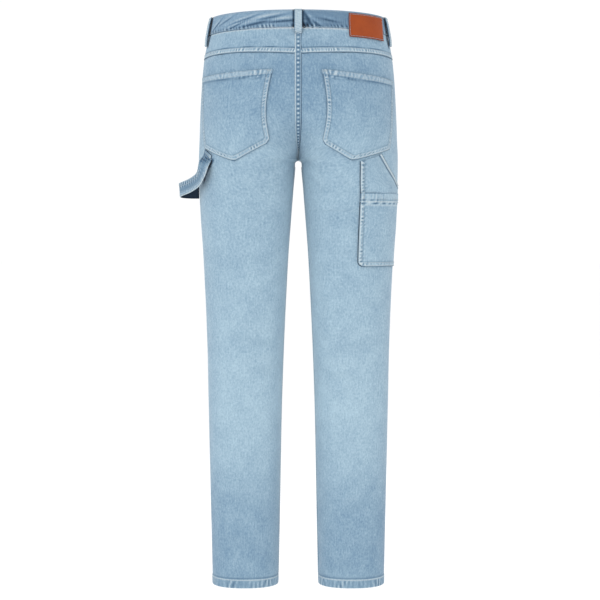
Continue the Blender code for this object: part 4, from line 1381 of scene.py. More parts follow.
@dataclass
class Yoke(LaidPiece):
    """The piece between the waistband and the seat, lapped over it with two rows."""

    def size(self) -> tuple[float, float]:
        """About how wide and how tall the piece is."""
        return 0.240, 0.048

    def edges(self, u: Array, v: Array) -> tuple[Array, Array]:
        """Distance from the side seam and height at shares of width and height."""
        low = FORM.yoke_seam_z(u) + 0.15 * MM
        z = low + (FORM.band_seam_z(Face.BACK, u[0])[None, :] - 0.15 * MM - low) * v if np.ndim(u) > 1 else (
            low + (FORM.band_seam_z(Face.BACK, u) - 0.15 * MM - low) * v
        )
        length = FORM.length(z, Face.BACK) - 0.15 * MM
        return 0.15 * MM + (length - 0.15 * MM) * u, z

    def relief(self, u: Array, v: Array, along: Array, z: Array) -> tuple[Array, Array]:
        """Height and wear."""
        height, wear = double_seam(v * 0.050, along, self.seed, 9 * MM)
        low = v * 0.050
        height = height + 0.25 * MM * smooth_step((12 * MM - low) / (2 * MM))
        patch = 0.6 + 0.4 * wander(along, 60 * MM, self.seed + 11)
        # Painted shade: a dark line at the lower edge of the felled band
        wear = wear + (0.10 + 0.15 * patch) * smooth_step((11 * MM - low) / (1.5 * MM)) - 1.1 * patch * bell(low - 11.6 * MM, 1.1 * MM)
        from_top = (1 - v) * 0.048
        pucker = wander(along, 7 * MM, self.seed + 4)
        height = height + 0.30 * MM * pucker * np.exp(-from_top / (5 * MM)) - 0.9 * MM * bell(from_top, 1.5 * MM)
        wear = wear + 0.85 * bell(from_top - 1.2 * MM, 1.5 * MM) + 0.30 * pucker * np.exp(-from_top / (5 * MM))
        height = height - 0.9 * MM * bell(along, 1.3 * MM) + rolled(v * 0.050, 0.7 * MM)
        middle = smooth_step(from_top / 0.008) * smooth_step((v * 0.050 - 0.010) / 0.008)
        centre = FORM.length(z, Face.BACK) - along
        creases = (
            Crease(0.030, -0.052, 25 * 1, 40, 3.0, -0.8),
            Crease(0.060, -0.060, 12, 45, 3.5, -0.6),
            Crease(0.012, -0.064, 50, 24, 2.5, -0.7),
        )
        folds = crease_relief(creases, centre, z)
        # Painted shadow beside the side belt loop, and painted shade in the creases' troughs
        wear = wear - 3.2 * bell(along - 30.5 * MM, 2.4 * MM) * smooth_step((z + 0.066) / 0.006)
        return height + middle * (folds + 1.6 * unevenness(along, z, self.seed + 9)), wear + 0.15 * middle * folds / MM

    def sew(self, thread: Stitching) -> None:
        """Two rows along the lower edge."""
        for inset in (1.9 * MM, 9.0 * MM):
            u = np.linspace(0.004, 0.973, 200)
            along, z = self.edges(u, np.full(200, inset / 0.050))
            thread.row(self.side, self.face, along, z, self.lift + 0.72 * MM)

    def rests_on(self) -> list[str]:
        """The nodes that it hangs from."""
        return ["waistband"]


@dataclass
class FrontPocketSide(LaidPiece):
    """The side piece that shows in the front pocket's scooped opening."""

    def size(self) -> tuple[float, float]:
        """About how wide and how tall the piece is."""
        return 0.100, 0.090

    def edges(self, u: Array, v: Array) -> tuple[Array, Array]:
        """Distance from the side seam and height at shares of width and height."""
        low = FORM.band_seam_z(Face.FRONT, 0.4) - 0.092 + 0.010 * u
        share = (u[0] if np.ndim(u) > 1 else u) * 0.48
        top = FORM.band_seam_z(Face.FRONT, share) - 0.15 * MM
        z = low + (top - low) * v
        drop = np.clip((FORM.band_seam_z(Face.FRONT, 0.4) - z) / 0.080, 0.0, 1.0)
        end = 0.105 * np.sqrt(1 - drop**2) + 0.016
        return 0.15 * MM + (end - 0.15 * MM) * u, z

    def relief(self, u: Array, v: Array, along: Array, z: Array) -> tuple[Array, Array]:
        """Height and wear."""
        ripple = wander(z, 6.5 * MM, self.seed)
        height = 3.2 * MM * smooth_step(1 - along / (8 * MM)) - 0.9 * MM * bell(along, 1.3 * MM)
        # Its top comes out to meet the waistband
        height = np.maximum(height, 2.4 * MM * smooth_step((v - 0.80) / 0.18) * smooth_step((0.1045 - along) / 0.008))
        return height + 0.2 * MM * ripple * np.exp(-along / (7 * MM)), 0.4 * ripple * bell(along - 3 * MM, 4 * MM)


@dataclass
class Fly(LaidPiece):
    """The lap over the zip, with its curved row of stitches."""

    low_z: float = -0.190
    width: float = 38 * MM
    past: float = 5 * MM

    def size(self) -> tuple[float, float]:
        """About how wide and how tall the piece is."""
        return 0.043, 0.140

    def edges(self, u: Array, v: Array) -> tuple[Array, Array]:
        """Distance from the side seam and height at shares of width and height."""
        line = u[0] if np.ndim(u) > 1 else u
        reach = self.past - (self.width + self.past) * (1 - line)
        top = FORM.band_seam_z(Face.FRONT, 1 - np.abs(reach) / 0.226) - 0.15 * MM
        z = self.low_z + (top - self.low_z) * v
        length = FORM.length(z, Face.FRONT)
        curve = np.clip((self.low_z + 0.030 - z) / 0.030, 0.0, 1.0)
        start = length - self.width + self.width * 0.8 * (1 - np.sqrt(1 - curve**2))
        return start + (length + self.past - start) * u, z

    def relief(self, u: Array, v: Array, along: Array, z: Array) -> tuple[Array, Array]:
        """Height and wear."""
        past = (1 - u) * (self.width + self.past)
        ripple = wander(z, 6 * MM, self.seed)
        height = rolled(past, 0.9 * MM) + 0.2 * MM * ripple * np.exp(-past / (6 * MM))
        height = height - 0.9 * MM * smooth_step(1 - u * 43 / 6.0) - 0.8 * MM * smooth_step(1 - v * 140 / 8)
        return height, 0.45 * bell(past, 1.2 * MM) + 0.35 * ripple * np.exp(-past / (6 * MM))

    def sew(self, thread: Stitching) -> None:
        """The curved double row that holds the fly."""
        for inset in (2.0 * MM, 7.0 * MM):
            u = inset / 0.043
            v = np.concatenate([np.linspace(0.99, 0.10, 70)])
            along, z = self.edges(np.full(70, u), v)
            thread.row(self.side, self.face, along, z, self.lift + 0.2 * MM)
            turn = np.linspace(0, 1, 24)
            along, z = self.edges(u + (0.9 - u) * turn**1.5, 0.10 * (1 - turn) + (0.012 + 0.4 * inset) * turn)
            thread.row(self.side, self.face, along, z, self.lift)


@dataclass
class LeatherPatch(LaidPiece):
    """A plain leather rectangle sewn over the waistband and the top of the yoke."""

    start: float = 0.0367
    end: float = 0.1188
    lean: float = 0.28
    drop: float = 4 * MM
    height: float = 47 * MM

    def size(self) -> tuple[float, float]:
        """About how wide and how tall the piece is."""
        return 0.082, 0.047

    def edges(self, u: Array, v: Array) -> tuple[Array, Array]:
        """Distance from the side seam and height at shares of width and height."""
        line = u[0] if np.ndim(u) > 1 else u
        share = (self.start + (self.end - self.start) * line) / 0.2266
        top = FORM.slanted_z(Face.BACK, share, FORM.waist_top_z) - self.drop
        z = top - self.height * (1 - v)
        return self.start + (self.end - self.start) * u - self.lean * z, z

    def relief(self, u: Array, v: Array, along: Array, z: Array) -> tuple[Array, Array]:
        """Height and wear."""
        edge = np.minimum(np.minimum(u, 1 - u) * 0.082, np.minimum(v, 1 - v) * 0.047)
        height = rolled(edge, 0.7 * MM) - 0.15 * MM * bell(edge - 2 * MM, 0.8 * MM)
        return height + 1.2 * unevenness(along, z, 5), 0.8 * bell(edge, 1.2 * MM) + 0.25 * bell(edge - 2 * MM, 1.0 * MM)

    def fade(self, along: Array, z: Array) -> Array:
        """Leather has no wash."""
        return np.zeros(along.shape)

    def sew(self, thread: Stitching) -> None:
        """One row round the edge."""
        a, b = 2.0 / 82, 2.0 / 47
        for us, vs in (((a, 1 - a), (b, b)), ((1 - a, 1 - a), (b, 1 - b)), ((1 - a, a), (1 - b, 1 - b)), ((a, a), (1 - b, b))):
            along, z = self.edges(np.linspace(*us, 60), np.linspace(*vs, 60))
            thread.row(self.side, self.face, along, z, self.lift + 0.05 * MM)

    def rests_on(self) -> list[str]:
        """The nodes that it lies on."""
        return ["waistband", "yoke_right"]


# Raised seams

@dataclass
class FelledSeam:
    """A felled seam with two rows, as a low raised strip near a panel's inner end."""

    name: str
    side: int
    top_z: float
    low_z: float
    inset: float
    width: float = 11 * MM
    lift: float = 1.0 * MM
    seed: int = 5
    lumps: float = 1.0
    shade: float = 0.5
    pitch: float = 6.0 * MM
    slant: float = 0.4
    rests_on: tuple[str, ...] = ()

    def heights(self) -> Array:
        """Heights of the strip's rows, 1.3 mm apart along the cloth."""
        ease = np.linspace(0, 1, 600)
        z = self.low_z + (self.top_z - self.low_z) * (1 - ease) ** 1.5
        points = FORM.point(self.side, Face.BACK, FORM.length(z, Face.BACK) - self.inset, z)
        run = np.concatenate([[0.0], np.cumsum(np.linalg.norm(np.diff(points, axis=0), axis=1))])
        return np.interp(np.linspace(0, run[-1], int(run[-1] / (1.3 * MM))), run, z)

    def build(self, finishes: Finishes, thread: Stitching) -> bpy.types.Object:
        """Make the strip and its two rows."""
        face = Face.BACK
        z = self.heights()
        middle = FORM.length(z, face) - self.inset
        w = np.linspace(-0.5, 0.5, 15)[None, :] * self.width
        grid_a, grid_z = middle[:, None] + w, z[:, None] + 0 * w
        centre = FORM.point(self.side, face, middle, z)
        run = np.concatenate([[0.0], np.cumsum(np.linalg.norm(np.diff(centre, axis=0), axis=1))])[:, None]
        beat = 2 * math.pi * (run + self.slant * w) / self.pitch + 0.9 * np.sin(run / 0.05)
        ripple = np.sin(beat) * (0.8 + 0.2 * wander(run, 30 * MM, self.seed))
        edge = self.width / 2 - np.abs(w)
        rows = bell(edge - 2.0 * MM, 0.8 * MM)
        between = smooth_step((edge - 1.6 * MM) / (1.6 * MM))
        height = self.lift + rolled(edge, 1.0 * MM) - 0.3 * MM * rows + self.lumps * 0.38 * MM * ripple * between
        core = bell(w, 0.17 * self.width)
        # Painted shade: the seam darkens lower down, towards the seat's cleft, with dark lines beside its middle and
        # along its lapped edge
        low = self.shade * smooth_step((-0.175 - z[:, None]) / 0.08)
        wear = (1.25 - 0.7 * low) * bell(edge - 1.7 * MM, 1.5 * MM) + self.lumps * core * (-0.15 - 0.4 * low + 1.55 * ripple)
        wear = wear - (1.15 * self.shade + 0.5 * low) * bell(np.abs(w) - 0.25 * self.width, 1.0 * MM)
        wear = wear - 2.6 * self.shade * bell(self.side * w + self.width / 2, 1.6 * MM)
        outward = FORM.outward(self.side, face, grid_a, grid_z)
        points = FORM.point(self.side, face, grid_a, grid_z) + outward * height[..., None]
        fade = washed(grid_z, middle[:, None] / FORM.length(grid_z, face))
        cloth = Cloth(points, outward, np.stack([grid_a * self.side, grid_z], -1), fade, wear)
        piece = Tailor.wall(f"seam_{self.name}", cloth, 0.9 * MM, finishes.denim)
        for sign in (-1, 1):
            thread.row(self.side, face, middle + sign * (self.width / 2 - 2.0 * MM), z, self.lift - 0.05 * MM)
        return Tailor.fit(piece, Slot.DENIM, (), cloth, self.rests_on, held="laid")


# Waistband and what is on it

@dataclass
class Waistband:
    """A ring of double cloth, lapped at the centre front, creased at the back."""

    wall: float = 2.6 * MM
    lift: float = 0.9 * MM
    lap: float = 36 * MM
    ramp: float = 30 * MM
    step: float = 2.2 * MM
    # Distance from the centre back to the painted shadows beside the side belt loops
    side_loops: float = 0.1965
    # Diagonal drag creases beside the centre back and across the left half;
    # the distance is from the centre back, towards the wearer's right
    creases: tuple[Crease, ...] = (
        Crease(-0.030, -0.018, 6, 70, 2.6, -1.5),
        Crease(-0.062, -0.012, 12, 60, 2.4, -1.6),
        Crease(-0.085, -0.022, 14, 60, 2.6, -1.5),
        Crease(-0.110, -0.014, 18, 55, 1.7, -1.3),
        Crease(-0.128, -0.026, 24, 50, 1.7, -1.3),
        Crease(-0.150, -0.014, 30, 40, 1.6, -1.0),
        Crease(-0.176, -0.022, 44, 34, 1.5, -1.5),
        Crease(0.013, -0.030, -50, 26, 2.4, -2.0),
        Crease(0.020, -0.016, -58, 30, 2.6, -1.6),
        Crease(0.036, -0.024, -34, 36, 2.4, -1.2),
        Crease(0.060, -0.016, -8, 40, 2.2, -0.9),
        Crease(0.155, -0.022, -30, 40, 2.4, -1.3),
        Crease(0.175, -0.026, -36, 36, 2.4, -1.2),
        Crease(0.240, -0.030, 20, 40, 2.4, -0.9),
        Crease(-0.250, -0.030, -20, 40, 2.4, -0.9),
        Crease(0.330, -0.034, -14, 44, 2.4, -0.8),
        Crease(-0.330, -0.034, 14, 44, 2.4, -0.8),
    )

    def column(self, side: int, face: Face, shares: Array, v: Array) -> tuple[Array, Array]:
        """Distance from the side seam and height of a stretch of the band."""
        low = FORM.slanted_z(face, shares, FORM.waist_top_z - FORM.band_height)
        top = FORM.slanted_z(face, shares, FORM.waist_top_z)
        z = low[None, :] + (top - low)[None, :] * v[:, None]
        return shares[None, :] * FORM.length(z, face), z

    def build(self, finishes: Finishes, thread: Stitching) -> bpy.types.Object:
        """Make the band and its seam rows."""
        v = spaced(FORM.band_height, 2.0 * MM, EDGE_STEPS[:8])
        front = float(FORM.length(np.array(-0.022), Face.FRONT))
        back = float(FORM.length(np.array(-0.022), Face.BACK))
        rise = np.linspace(0, 1, round(front / self.step))
        turn = np.linspace(0, 1, round(back / self.step))
        lap = 1 - np.linspace(0, self.lap / front, round(self.lap / self.step))
        stretches = (
            (1, Face.FRONT, rise[::-1], lambda s: back + front * s, lambda s: 0 * s),
            (1, Face.BACK, turn[1:], lambda s: back * (1 - s), lambda s: 0 * s),
            (-1, Face.BACK, turn[-2::-1], lambda s: -back * (1 - s), lambda s: 0 * s),
            (-1, Face.FRONT, rise[1:], lambda s: -back - front * s, lambda s: smooth_step(1 - (1 - s) * front / self.ramp)),
            (1, Face.FRONT, lap[1:], lambda s: -back - front - front * (1 - s), lambda s: 0 * s + 1),
        )
        points, outward, place, wear, fade = [], [], [], [], []
        for side, face, shares, distance, lapped in stretches:
            along, z = self.column(side, face, shares, v)
            out = FORM.outward(side, face, along, z)
            run = np.broadcast_to(distance(shares)[None, :], z.shape)
            # The second value holds worn paler cloth and painted shade
            height, worn = self.relief(run, v[:, None] * FORM.band_height, z)
            lift = self.lift + height + lapped(shares)[None, :] * (self.wall + 0.8 * MM)
            points.append(FORM.point(side, face, along, z) + out * lift[..., None])
            outward.append(out)
            place.append(np.stack([z, run], -1))
            wear.append(worn)
            fade.append(np.full(z.shape, 0.42))
        joined = [np.concatenate(parts, axis=1) for parts in (points, outward, place, fade, wear)]
        cloth = Cloth(*joined)
        piece = Tailor.wall("cloth_waistband", cloth, self.wall, finishes.band, inner_wear_and_shade=0.1)
        for offset in (2.2 * MM, FORM.band_height - 2.4 * MM):
            row = int(np.argmin(np.abs(v * FORM.band_height - offset)))
            thread.path(cloth.points[row] + cloth.outward[row] * 0.10 * MM, cloth.outward[row])
        return Tailor.fit(piece, Slot.BAND, ["waistband"], cloth, held="stretched")

    def relief(self, run: Array, up: Array, z: Array) -> tuple[Array, Array]:
        """Height and wear of the band at a distance from the centre back and above its lower edge."""
        from_top = FORM.band_height - up
        pucker = wander(run + 0.4 * up, 7.4 * MM, 21)
        low = np.exp(-up / (6 * MM))
        height = rolled(up, 1.2 * MM) + rolled(from_top, 1.3 * MM)
        height = height - 0.4 * MM * bell(up - 2.2 * MM, 0.8 * MM) - 0.35 * MM * bell(from_top - 2.4 * MM, 0.8 * MM)
        height = height + 0.45 * MM * pucker * low * smooth_step(up / (2 * MM))
        folds = crease_relief(self.creases, run, z)
        inside = smooth_step(up / (5 * MM)) * smooth_step(from_top / (4 * MM))
        height = height + inside * folds + 0.25 * MM * wander(run, 16 * MM, 23) * inside
        wear = (-0.35 + 1.5 * pucker) * bell(up - 3.5 * MM, 3.4 * MM) + 0.30 * bell(from_top, 1.4 * MM)
        # Painted shade: the creases' troughs and the band's lower edge are darkened
        wear = wear + inside * (np.where(folds < 0, 1.1, 0.8) * folds / MM + 0.10 - 0.50 * smooth_step((run + 0.01) / 0.03) * smooth_step((0.23 - run) / 0.04)) - 0.4 * bell(up, 1.0 * MM) + 0.35 * wander(run, 5 * MM, 25) * bell(up - 14 * MM, 8 * MM)
        # Painted shadows beside the centre belt loop and the side belt loops, and a darker patch right of the centre
        # loop as painted shade of a fold
        wear = wear - 2.6 * bell(np.abs(run) - 9.2 * MM, 1.8 * MM) - 3.8 * bell(np.abs(run) - self.side_loops, 3.0 * MM)
        wear = wear - 2.2 * bell(run - 15 * MM, 7 * MM) * bell(up - 4 * MM, 6 * MM)
        return height, wear


@dataclass
class BeltLoop:
    """A folded strip sewn at the waistband's top and under it, standing clear between."""

    node: str
    side: int
    face: Face
    share: float
    width: float = 15 * MM
    wall: float = 2.2 * MM
    stand: float = 6.8 * MM
    below: float = 11 * MM

    def build(self, finishes: Finishes, thread: Stitching) -> bpy.types.Object:
        """Make the loop, its two rows and its tacks."""
        base = float(FORM.slanted_z(self.face, np.array(self.share), FORM.waist_top_z))
        top, low = base + 0.6 * MM, base - FORM.band_height - self.below
        v = np.linspace(0, 1, 46)
        z = low + (top - low) * v
        stand = np.interp(v, [0.0, 0.08, 0.18, 0.30, 0.70, 0.82, 0.92, 1.0], [0.0, 0.35, 0.85, 1.0, 1.0, 0.85, 0.35, 0.0])
        stand = np.convolve(np.pad(stand, 3, mode="edge"), np.ones(7) / 7, mode="valid")
        stand[:2] = 0.0
        stand[-2:] = 0.0
        middle_z = base - FORM.band_height / 2
        share_at = self.share * float(FORM.length(np.array(middle_z), self.face))
        out = FORM.outward(self.side, self.face, np.array(share_at), np.array(middle_z))
        out = unit(out * np.array([1.0, 1.0, 0.0]))
        across = np.array([-out[1], out[0], 0.0])
        foot = FORM.point(self.side, self.face, self.share * FORM.length(z, self.face), z)
        w = spaced(self.width, 1.2 * MM, tuple(k * MM for k in (0, 0.3, 0.7, 1.2, 1.8)))
        offset = (w - 0.5) * self.width
        edge = self.width / 2 - np.abs(offset)
        ripple = wander(z[:, None] + 0.3 * offset, 4.6 * MM, 11 + len(self.node) + self.side)
        lift = (0.9 + 0.2) * MM + self.wall + stand * self.stand
        relief = rolled(edge, 0.9 * MM) - 0.22 * MM * bell(edge - 2.4 * MM, 0.7 * MM) + 0.15 * MM * ripple
        points = foot[:, None, :] + across * offset[None, :, None] + out * (lift[:, None] + relief)[..., None]
        slope = unit(np.gradient(points[:, len(w) // 2], axis=0))
        normal = np.cross(np.broadcast_to(across, slope.shape), slope)
        normal = normal * np.sign(normal @ out)[:, None]
        deep = self.wall + 2 * rolled(edge, 0.9 * MM) + relief - rolled(edge, 0.9 * MM)
        inner = points - normal[:, None, :] * np.maximum(deep, 0.4 * MM)[..., None]
        outward = np.broadcast_to(normal[:, None, :], points.shape)
        # Painted shade: dark rims along the long edges, and the loop's inside painted near black
        wear = 0.45 + 0.35 * ripple - 1.8 * bell(edge, 0.9 * MM) + 0.35 * bell(edge - 2.8 * MM, 1.0 * MM)
        place = np.stack(np.broadcast_arrays(offset[None, :], z[:, None]), -1)
        cloth = Cloth(points, outward, place, np.full(wear.shape, 0.35), wear)
        piece = Tailor.wall(f"cloth_{self.node}", cloth, self.wall, finishes.denim, inner=inner, inner_wear_and_shade=-2.3)
        for sign in (-1, 1):
            column = int(np.argmin(np.abs(offset - sign * (self.width / 2 - 2.4 * MM))))
            thread.path(points[2:-2, column] + normal[2:-2] * 0.1 * MM, normal[2:-2])
        for row in (2, 43):
            ends = points[row, 2][None, :], points[row, -3][None, :]
            shares = np.linspace(0, 1, 15)[:, None]
            middle = ends[0] + (ends[1] - ends[0]) * shares
            rise = slope[row] * 0.9 * MM
            thread.capsules(middle - rise, middle + rise, np.repeat(normal[row][None, :], 15, axis=0), 0.35 * MM)
        return Tailor.fit(piece, Slot.DENIM, [self.node], cloth, ["waistband"], held="laid")


class Station(NamedTuple):
    """A place on the hammer loop's middle line, and how its width lies."""

    x: float
    y: float
    z: float
    width_x: float
    width_y: float
    width_z: float


@dataclass
class HammerLoop:
    """The strip of double cloth that stands out from the left leg."""

    width: float = 27 * MM
    wall: float = 2.6 * MM
    sewn: tuple[tuple[float, float], ...] = ((0.0985, -0.2705), (0.0935, -0.2800))
    slope: float = math.radians(24)
    free: tuple[Station, ...] = (
        Station(-0.1835, -0.0930, -0.2940, -0.55, 0.60, 0.50),
        Station(-0.1885, -0.0890, -0.3100, -0.30, 0.30, 0.90),
        Station(-0.1965, -0.0740, -0.3235, -0.15, 0.10, 0.98),
        Station(-0.2135, -0.0460, -0.3335, -0.10, 0.03, 1.00),
        Station(-0.2290, -0.0260, -0.3390, -0.08, 0.00, 1.00),
        Station(-0.2350, -0.0130, -0.3420, -0.07, 0.00, 1.00),
        Station(-0.2290, -0.0020, -0.3440, -0.05, 0.00, 1.00),
        Station(-0.2130, 0.0020, -0.3450, -0.02, 0.00, 1.00),
        Station(-0.1978, 0.0021, -0.3450, 0.00, 0.00, 1.00),
    )

    def stations(self) -> Array:
        """The loop's stations: two where it is sewn to the back panel, then the free ones."""
        sewn = []
        step_a, step_z = 0.01 * math.cos(self.slope), 0.01 * math.sin(self.slope)
        for along, z in self.sewn:
            at, level = np.array(along), np.array(z)
            middle = FORM.lifted(-1, Face.BACK, at, level, np.array(self.wall / 2 + 0.8 * MM))
            across = FORM.point(-1, Face.BACK, at - step_a, level + step_z) - FORM.point(-1, Face.BACK, at + step_a, level - step_z)
            sewn.append(np.concatenate([middle, unit(across)]))
        return np.array(sewn + [np.array(row) for row in self.free])

    def build(self, finishes: Finishes, thread: Stitching) -> bpy.types.Object:
        """Make the strip, its rows and its tack."""
        stations = self.stations()
        t = np.linspace(0, 1, 130)
        places = np.linspace(0, 1, len(stations))
        read = np.stack([smooth_read(t, places, stations[:, k]) for k in range(6)], axis=-1)
        middle, width = read[:, :3], read[:, 3:]
        tangent = unit(np.gradient(middle, axis=0))
        width = unit(width - tangent * (width * tangent).sum(-1, keepdims=True))
        out = np.cross(tangent, width)
        if out[0] @ FORM.outward(-1, Face.BACK, np.array(self.sewn[0][0]), np.array(self.sewn[0][1])) < 0:
            out = -out
        w = spaced(self.width, 1.6 * MM, tuple(k * MM for k in (0, 0.3, 0.7, 1.2, 1.8)))
        offset = ((w - 0.5) * self.width)[None, :]
        edge = self.width / 2 - np.abs(offset)
        run = np.concatenate([[0.0], np.cumsum(np.linalg.norm(np.diff(middle, axis=0), axis=1))])[:, None]
        ripple = wander(run + 0.5 * offset, 6.0 * MM, 31)
        rows = bell(edge - 2.2 * MM, 0.8 * MM) + bell(edge - 7.5 * MM, 0.8 * MM)
        relief = rolled(edge, 1.0 * MM) - 0.22 * MM * rows + 0.28 * MM * ripple * np.exp(-edge / (8 * MM))
        base = middle[:, None, :] + width[:, None, :] * offset[..., None]
        points = base + out[:, None, :] * (self.wall / 2 + relief)[..., None]
        inner = base - out[:, None, :] * (self.wall / 2 + relief)[..., None]
        upper = smooth_step(offset / (3 * MM)) * smooth_step((run - 0.03) / 0.02)
        wear = -0.15 + 0.7 * ripple * np.exp(-edge / (8 * MM)) + 1.2 * bell(edge - 0.6 * MM, 1.4 * MM) - 0.4 * rows
        tick = np.sin(2 * math.pi * (run + 0.8 * offset) / (8.6 * MM) + 0.9 * np.sin(run / 0.021))
        # Painted shade: darker along the middle of the free part and where it leaves the leg; its inside is painted
        # near black
        wear = wear + upper * (-0.25 + 1.9 * tick) * bell(offset - 7 * MM, 6 * MM) - (0.5 + 0.5 * ripple) * bell(offset + 1 * MM, 4 * MM) * smooth_step((run - 0.02) / 0.02)
        wear = wear - 1.9 * bell(run - 0.016, 0.009) * (0.7 + 0.7 * ripple) + 0.5 * bell(offset + 9 * MM, 2.5 * MM)
        outward = np.broadcast_to(out[:, None, :], points.shape)
        place = np.stack(np.broadcast_arrays(offset, run), -1)
        cloth = Cloth(points, outward, place, np.full(wear.shape, 0.22), wear)
        piece = Tailor.wall("cloth_hammer_loop", cloth, self.wall, finishes.denim, inner=inner, inner_wear_and_shade=-2.5)
        for inset in (2.2 * MM, 7.5 * MM):
            for sign in (-1, 1):
                column = int(np.argmin(np.abs(offset[0] - sign * (self.width / 2 - inset))))
                thread.path(points[3:-1, column] + out[3:-1] * 0.1 * MM, out[3:-1])
        middles = points[5, 2] + (points[5, -3] - points[5, 2]) * np.linspace(0, 1, 26)[:, None]
        rise = tangent[5] * 1.0 * MM
        thread.capsules(middles - rise, middles + rise, np.repeat(out[5][None, :], 26, axis=0), 0.36 * MM)
        return Tailor.fit(piece, Slot.DENIM, ["hammer_loop"], cloth, ["back_left"], held="stretched")


@dataclass
class Button:
    """A stamped shank button with a raised rim and a sunk plain field."""

    radius: float = 8.5 * MM
    height: float = 4.2 * MM
    segments: int = 72

    def build(self, finishes: Finishes) -> bpy.types.Object:
        """Turn the button round its axis."""
        low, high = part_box("button")
        centre = np.array([(low[k] + high[k]) / 2 for k in range(3)])
        seat = low[1]
        profile = (
            (0.0, 0.0), (0.45, 0.0), (0.45, 0.33), (0.80, 0.38), (0.93, 0.44), (0.985, 0.54), (1.0, 0.66), (0.985, 0.80),
            (0.94, 0.92), (0.87, 0.99), (0.80, 0.99), (0.74, 0.93), (0.70, 0.84), (0.64, 0.80), (0.30, 0.84), (0.0, 0.86),
        )
        turn = np.linspace(0, 2 * math.pi, self.segments, endpoint=False)
        rings = [
            np.stack([
                centre[0] + r * self.radius * np.cos(turn),
                np.full(turn.shape, seat + h * self.height),
                centre[2] + r * self.radius * np.sin(turn),
            ], -1)
            for r, h in profile[1:-1]
        ]
        points = np.concatenate([*rings, [[centre[0], seat, centre[2]], [centre[0], seat + 0.86 * self.height, centre[2]]]])
        count, n = len(rings), self.segments
        faces: list[tuple[int, ...]] = []
        for k in range(n):
            m = (k + 1) % n
            faces += [(r * n + k, (r + 1) * n + k, (r + 1) * n + m, r * n + m) for r in range(count - 1)]
            faces += [(count * n, k, m), (count * n + 1, (count - 1) * n + m, (count - 1) * n + k)]
        return Tailor.fit(mesh_object("button_brass", points, faces, finishes.metal), Slot.METAL, ["button"])


# Studio

@dataclass(frozen=True)
class Lamp:
    """A soft box: where it stands, how large it is and how bright."""

    name: str
    place: tuple[float, float, float]
    size: tuple[float, float]
    power: float


@dataclass
class Studio:
    """Pale floor, soft boxes and the camera."""

    floor_z: float = -1.40
    lens_mm: float = 102.0
    camera_place: tuple[float, float, float] = (0.0034, -3.4, -0.430)
    aim: tuple[float, float, float] = (0.0034, 0.0, -0.561)
    lamps: tuple[Lamp, ...] = (
        Lamp("key", (-1.6, -3.2, 1.3), (2.0, 2.0), 22.0),
        Lamp("front", (0.2, 3.4, 0.8), (2.4, 2.4), 12.0),
    )

    def build(self) -> None:
        """Set up the stage."""
        self.background()
        self.world()
        for lamp in self.lamps:
            self.light(lamp)
        self.camera()
        scene = bpy.context.scene
        scene.view_settings.view_transform = "Standard"
        scene.view_settings.look = "None"
        scene.view_settings.exposure = 0.0

    def background(self) -> None:
        """A wide white floor that fades into the room's even light."""
        turn = np.linspace(0, 2 * math.pi, 65)
        points = np.array([[[r * math.cos(a), r * math.sin(a), self.floor_z] for a in turn] for r in (0.01, 2.0, 6.0, 20.0, 60.0)])
        paper = mesh_object("studio_paper", points, grid_faces(5, len(turn), 0, False), StudioPaper().build())

    def world(self) -> None:
        """Even light from all round."""
        world = bpy.data.worlds.new("studio")
        bpy.context.scene.world = world
        world.use_nodes = True
        background = world.node_tree.nodes["Background"]
        background.inputs["Color"].default_value = (1.0, 1.0, 1.0, 1.0)
        background.inputs["Strength"].default_value = 1.03

    def light(self, lamp: Lamp) -> None:
        """One soft box, turned to the trousers."""
        data = bpy.data.lights.new(lamp.name, "AREA")
        data.shape = "RECTANGLE"
        data.size, data.size_y = lamp.size
        data.energy = lamp.power
        item = bpy.data.objects.new(lamp.name, data)
        item.location = lamp.place
        item.rotation_euler = (Vector((0.0, 0.0, -0.5)) - Vector(lamp.place)).to_track_quat("-Z", "Y").to_euler()
        bpy.context.scene.collection.objects.link(item)

    def camera(self) -> None:
        """A long lens at the trousers' middle height, behind them."""
        data = bpy.data.cameras.new("camera")
        data.lens = self.lens_mm
        data.sensor_width = 36.0
        data.clip_end = 60.0
        item = bpy.data.objects.new("camera", data)
        item.location = self.camera_place
        item.rotation_euler = (Vector(self.aim) - Vector(self.camera_place)).to_track_quat("-Z", "Y").to_euler()
        bpy.context.scene.collection.objects.link(item)
        bpy.context.scene.camera = item


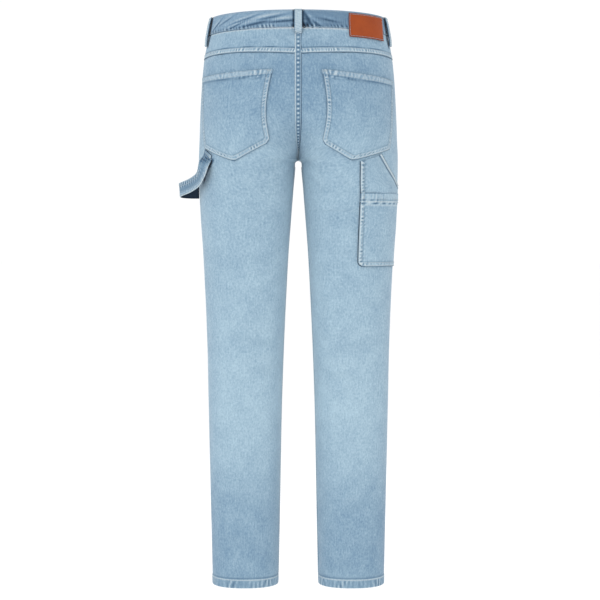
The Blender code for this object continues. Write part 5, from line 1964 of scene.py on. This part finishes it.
def main() -> None:
    """Build every piece in order."""
    logging.basicConfig(level=logging.INFO, format="%(message)s")
    Studio().build()
    finishes = Finishes.make()
    seat_thread, leg_thread, pocket_thread, band_thread = (
        Stitching(name) for name in ("stitches_seat", "stitches_legs", "stitches_pockets", "stitches_waist")
    )
    lie = 2.1 * MM
    for side in (1, -1):
        word = "right" if side > 0 else "left"
        for face in (Face.BACK, Face.FRONT):
            panel = LegPanel(side, face)
            panel.build(finishes)
            z = np.full(160, panel.hem_z + panel.hem_depth - 2.2 * MM)
            along = np.linspace(1 * MM, float(FORM.length(z[:1], face)[0]) - 1 * MM, 160)
            leg_thread.row(side, face, along, z, 0.50 * MM)
        Yoke(f"yoke_{word}", side, Face.BACK, 0.0, step=2.4 * MM, seed=51 + side).build(finishes, seat_thread)
        FrontPocketSide(f"front_pocket_side_{word}", side, Face.FRONT, -3.6 * MM, seed=61 + side).build(finishes, pocket_thread)
        BackPocket(f"back_pocket_{word}", side, Face.BACK, lie, seed=71 + side).build(finishes, pocket_thread)
        turn = np.radians(np.linspace(4, 90, 80))
        for inset in (1.9 * MM, 8.0 * MM):
            along = (0.105 + inset) * np.sin(turn)
            z = float(FORM.band_seam_z(Face.FRONT, np.array(0.4))) - (0.080 + inset) * np.cos(turn)
            pocket_thread.row(side, Face.FRONT, along, z, 0.42 * MM)
        inner = FelledSeam(f"inseam_{word}", side, -0.296, -1.107, 7.0 * MM, 10 * MM, 0.9 * MM, 81 + side, 0.6, 0.3, 6.0 * MM, 0.4, (f"back_{word}",))
        inner.build(finishes, leg_thread)
        BeltLoop(f"belt_loop_side_{word}", side, Face.BACK, 0.09, stand=2.2 * MM, below=20 * MM).build(finishes, band_thread)
        BeltLoop(f"belt_loop_front_{word}", side, Face.FRONT, 0.70).build(finishes, band_thread)
    top = float(FORM.band_seam_z(Face.BACK, np.array(1.0))) - 0.8 * MM
    seat = FelledSeam("centre_back", 1, top, FORM.crotch_z + 1.5 * MM, 0.0, 13.5 * MM, 1.3 * MM, 91, 1.0, 1.0, 8.8 * MM, 0.0, ("back_right", "back_left"))
    seat.build(finishes, seat_thread)
    ToolPocket("tool_pocket_tall", 1, Face.BACK, 1.5 * MM, wall=0.9 * MM, seed=101).build(finishes, pocket_thread)
    ToolPocket("tool_pocket_short", 1, Face.BACK, 2.7 * MM, wall=0.9 * MM, seed=103, tall=False).build(finishes, pocket_thread)
    HammerLoop().build(finishes, pocket_thread)
    Waistband().build(finishes, band_thread)
    Fly("fly", -1, Face.FRONT, 2.3 * MM, seed=111).build(finishes, band_thread)
    LeatherPatch("leather_patch", 1, Face.BACK, 3.1 * MM, wall=1.4 * MM, step=2 * MM, slot=Slot.LEATHER).build(finishes, band_thread)
    BeltLoop("belt_loop_centre", 1, Face.BACK, 1.0).build(finishes, band_thread)
    Button().build(finishes)
    for thread in (seat_thread, leg_thread, pocket_thread, band_thread):
        thread.build(finishes)


if __name__ == "__main__":
    main()
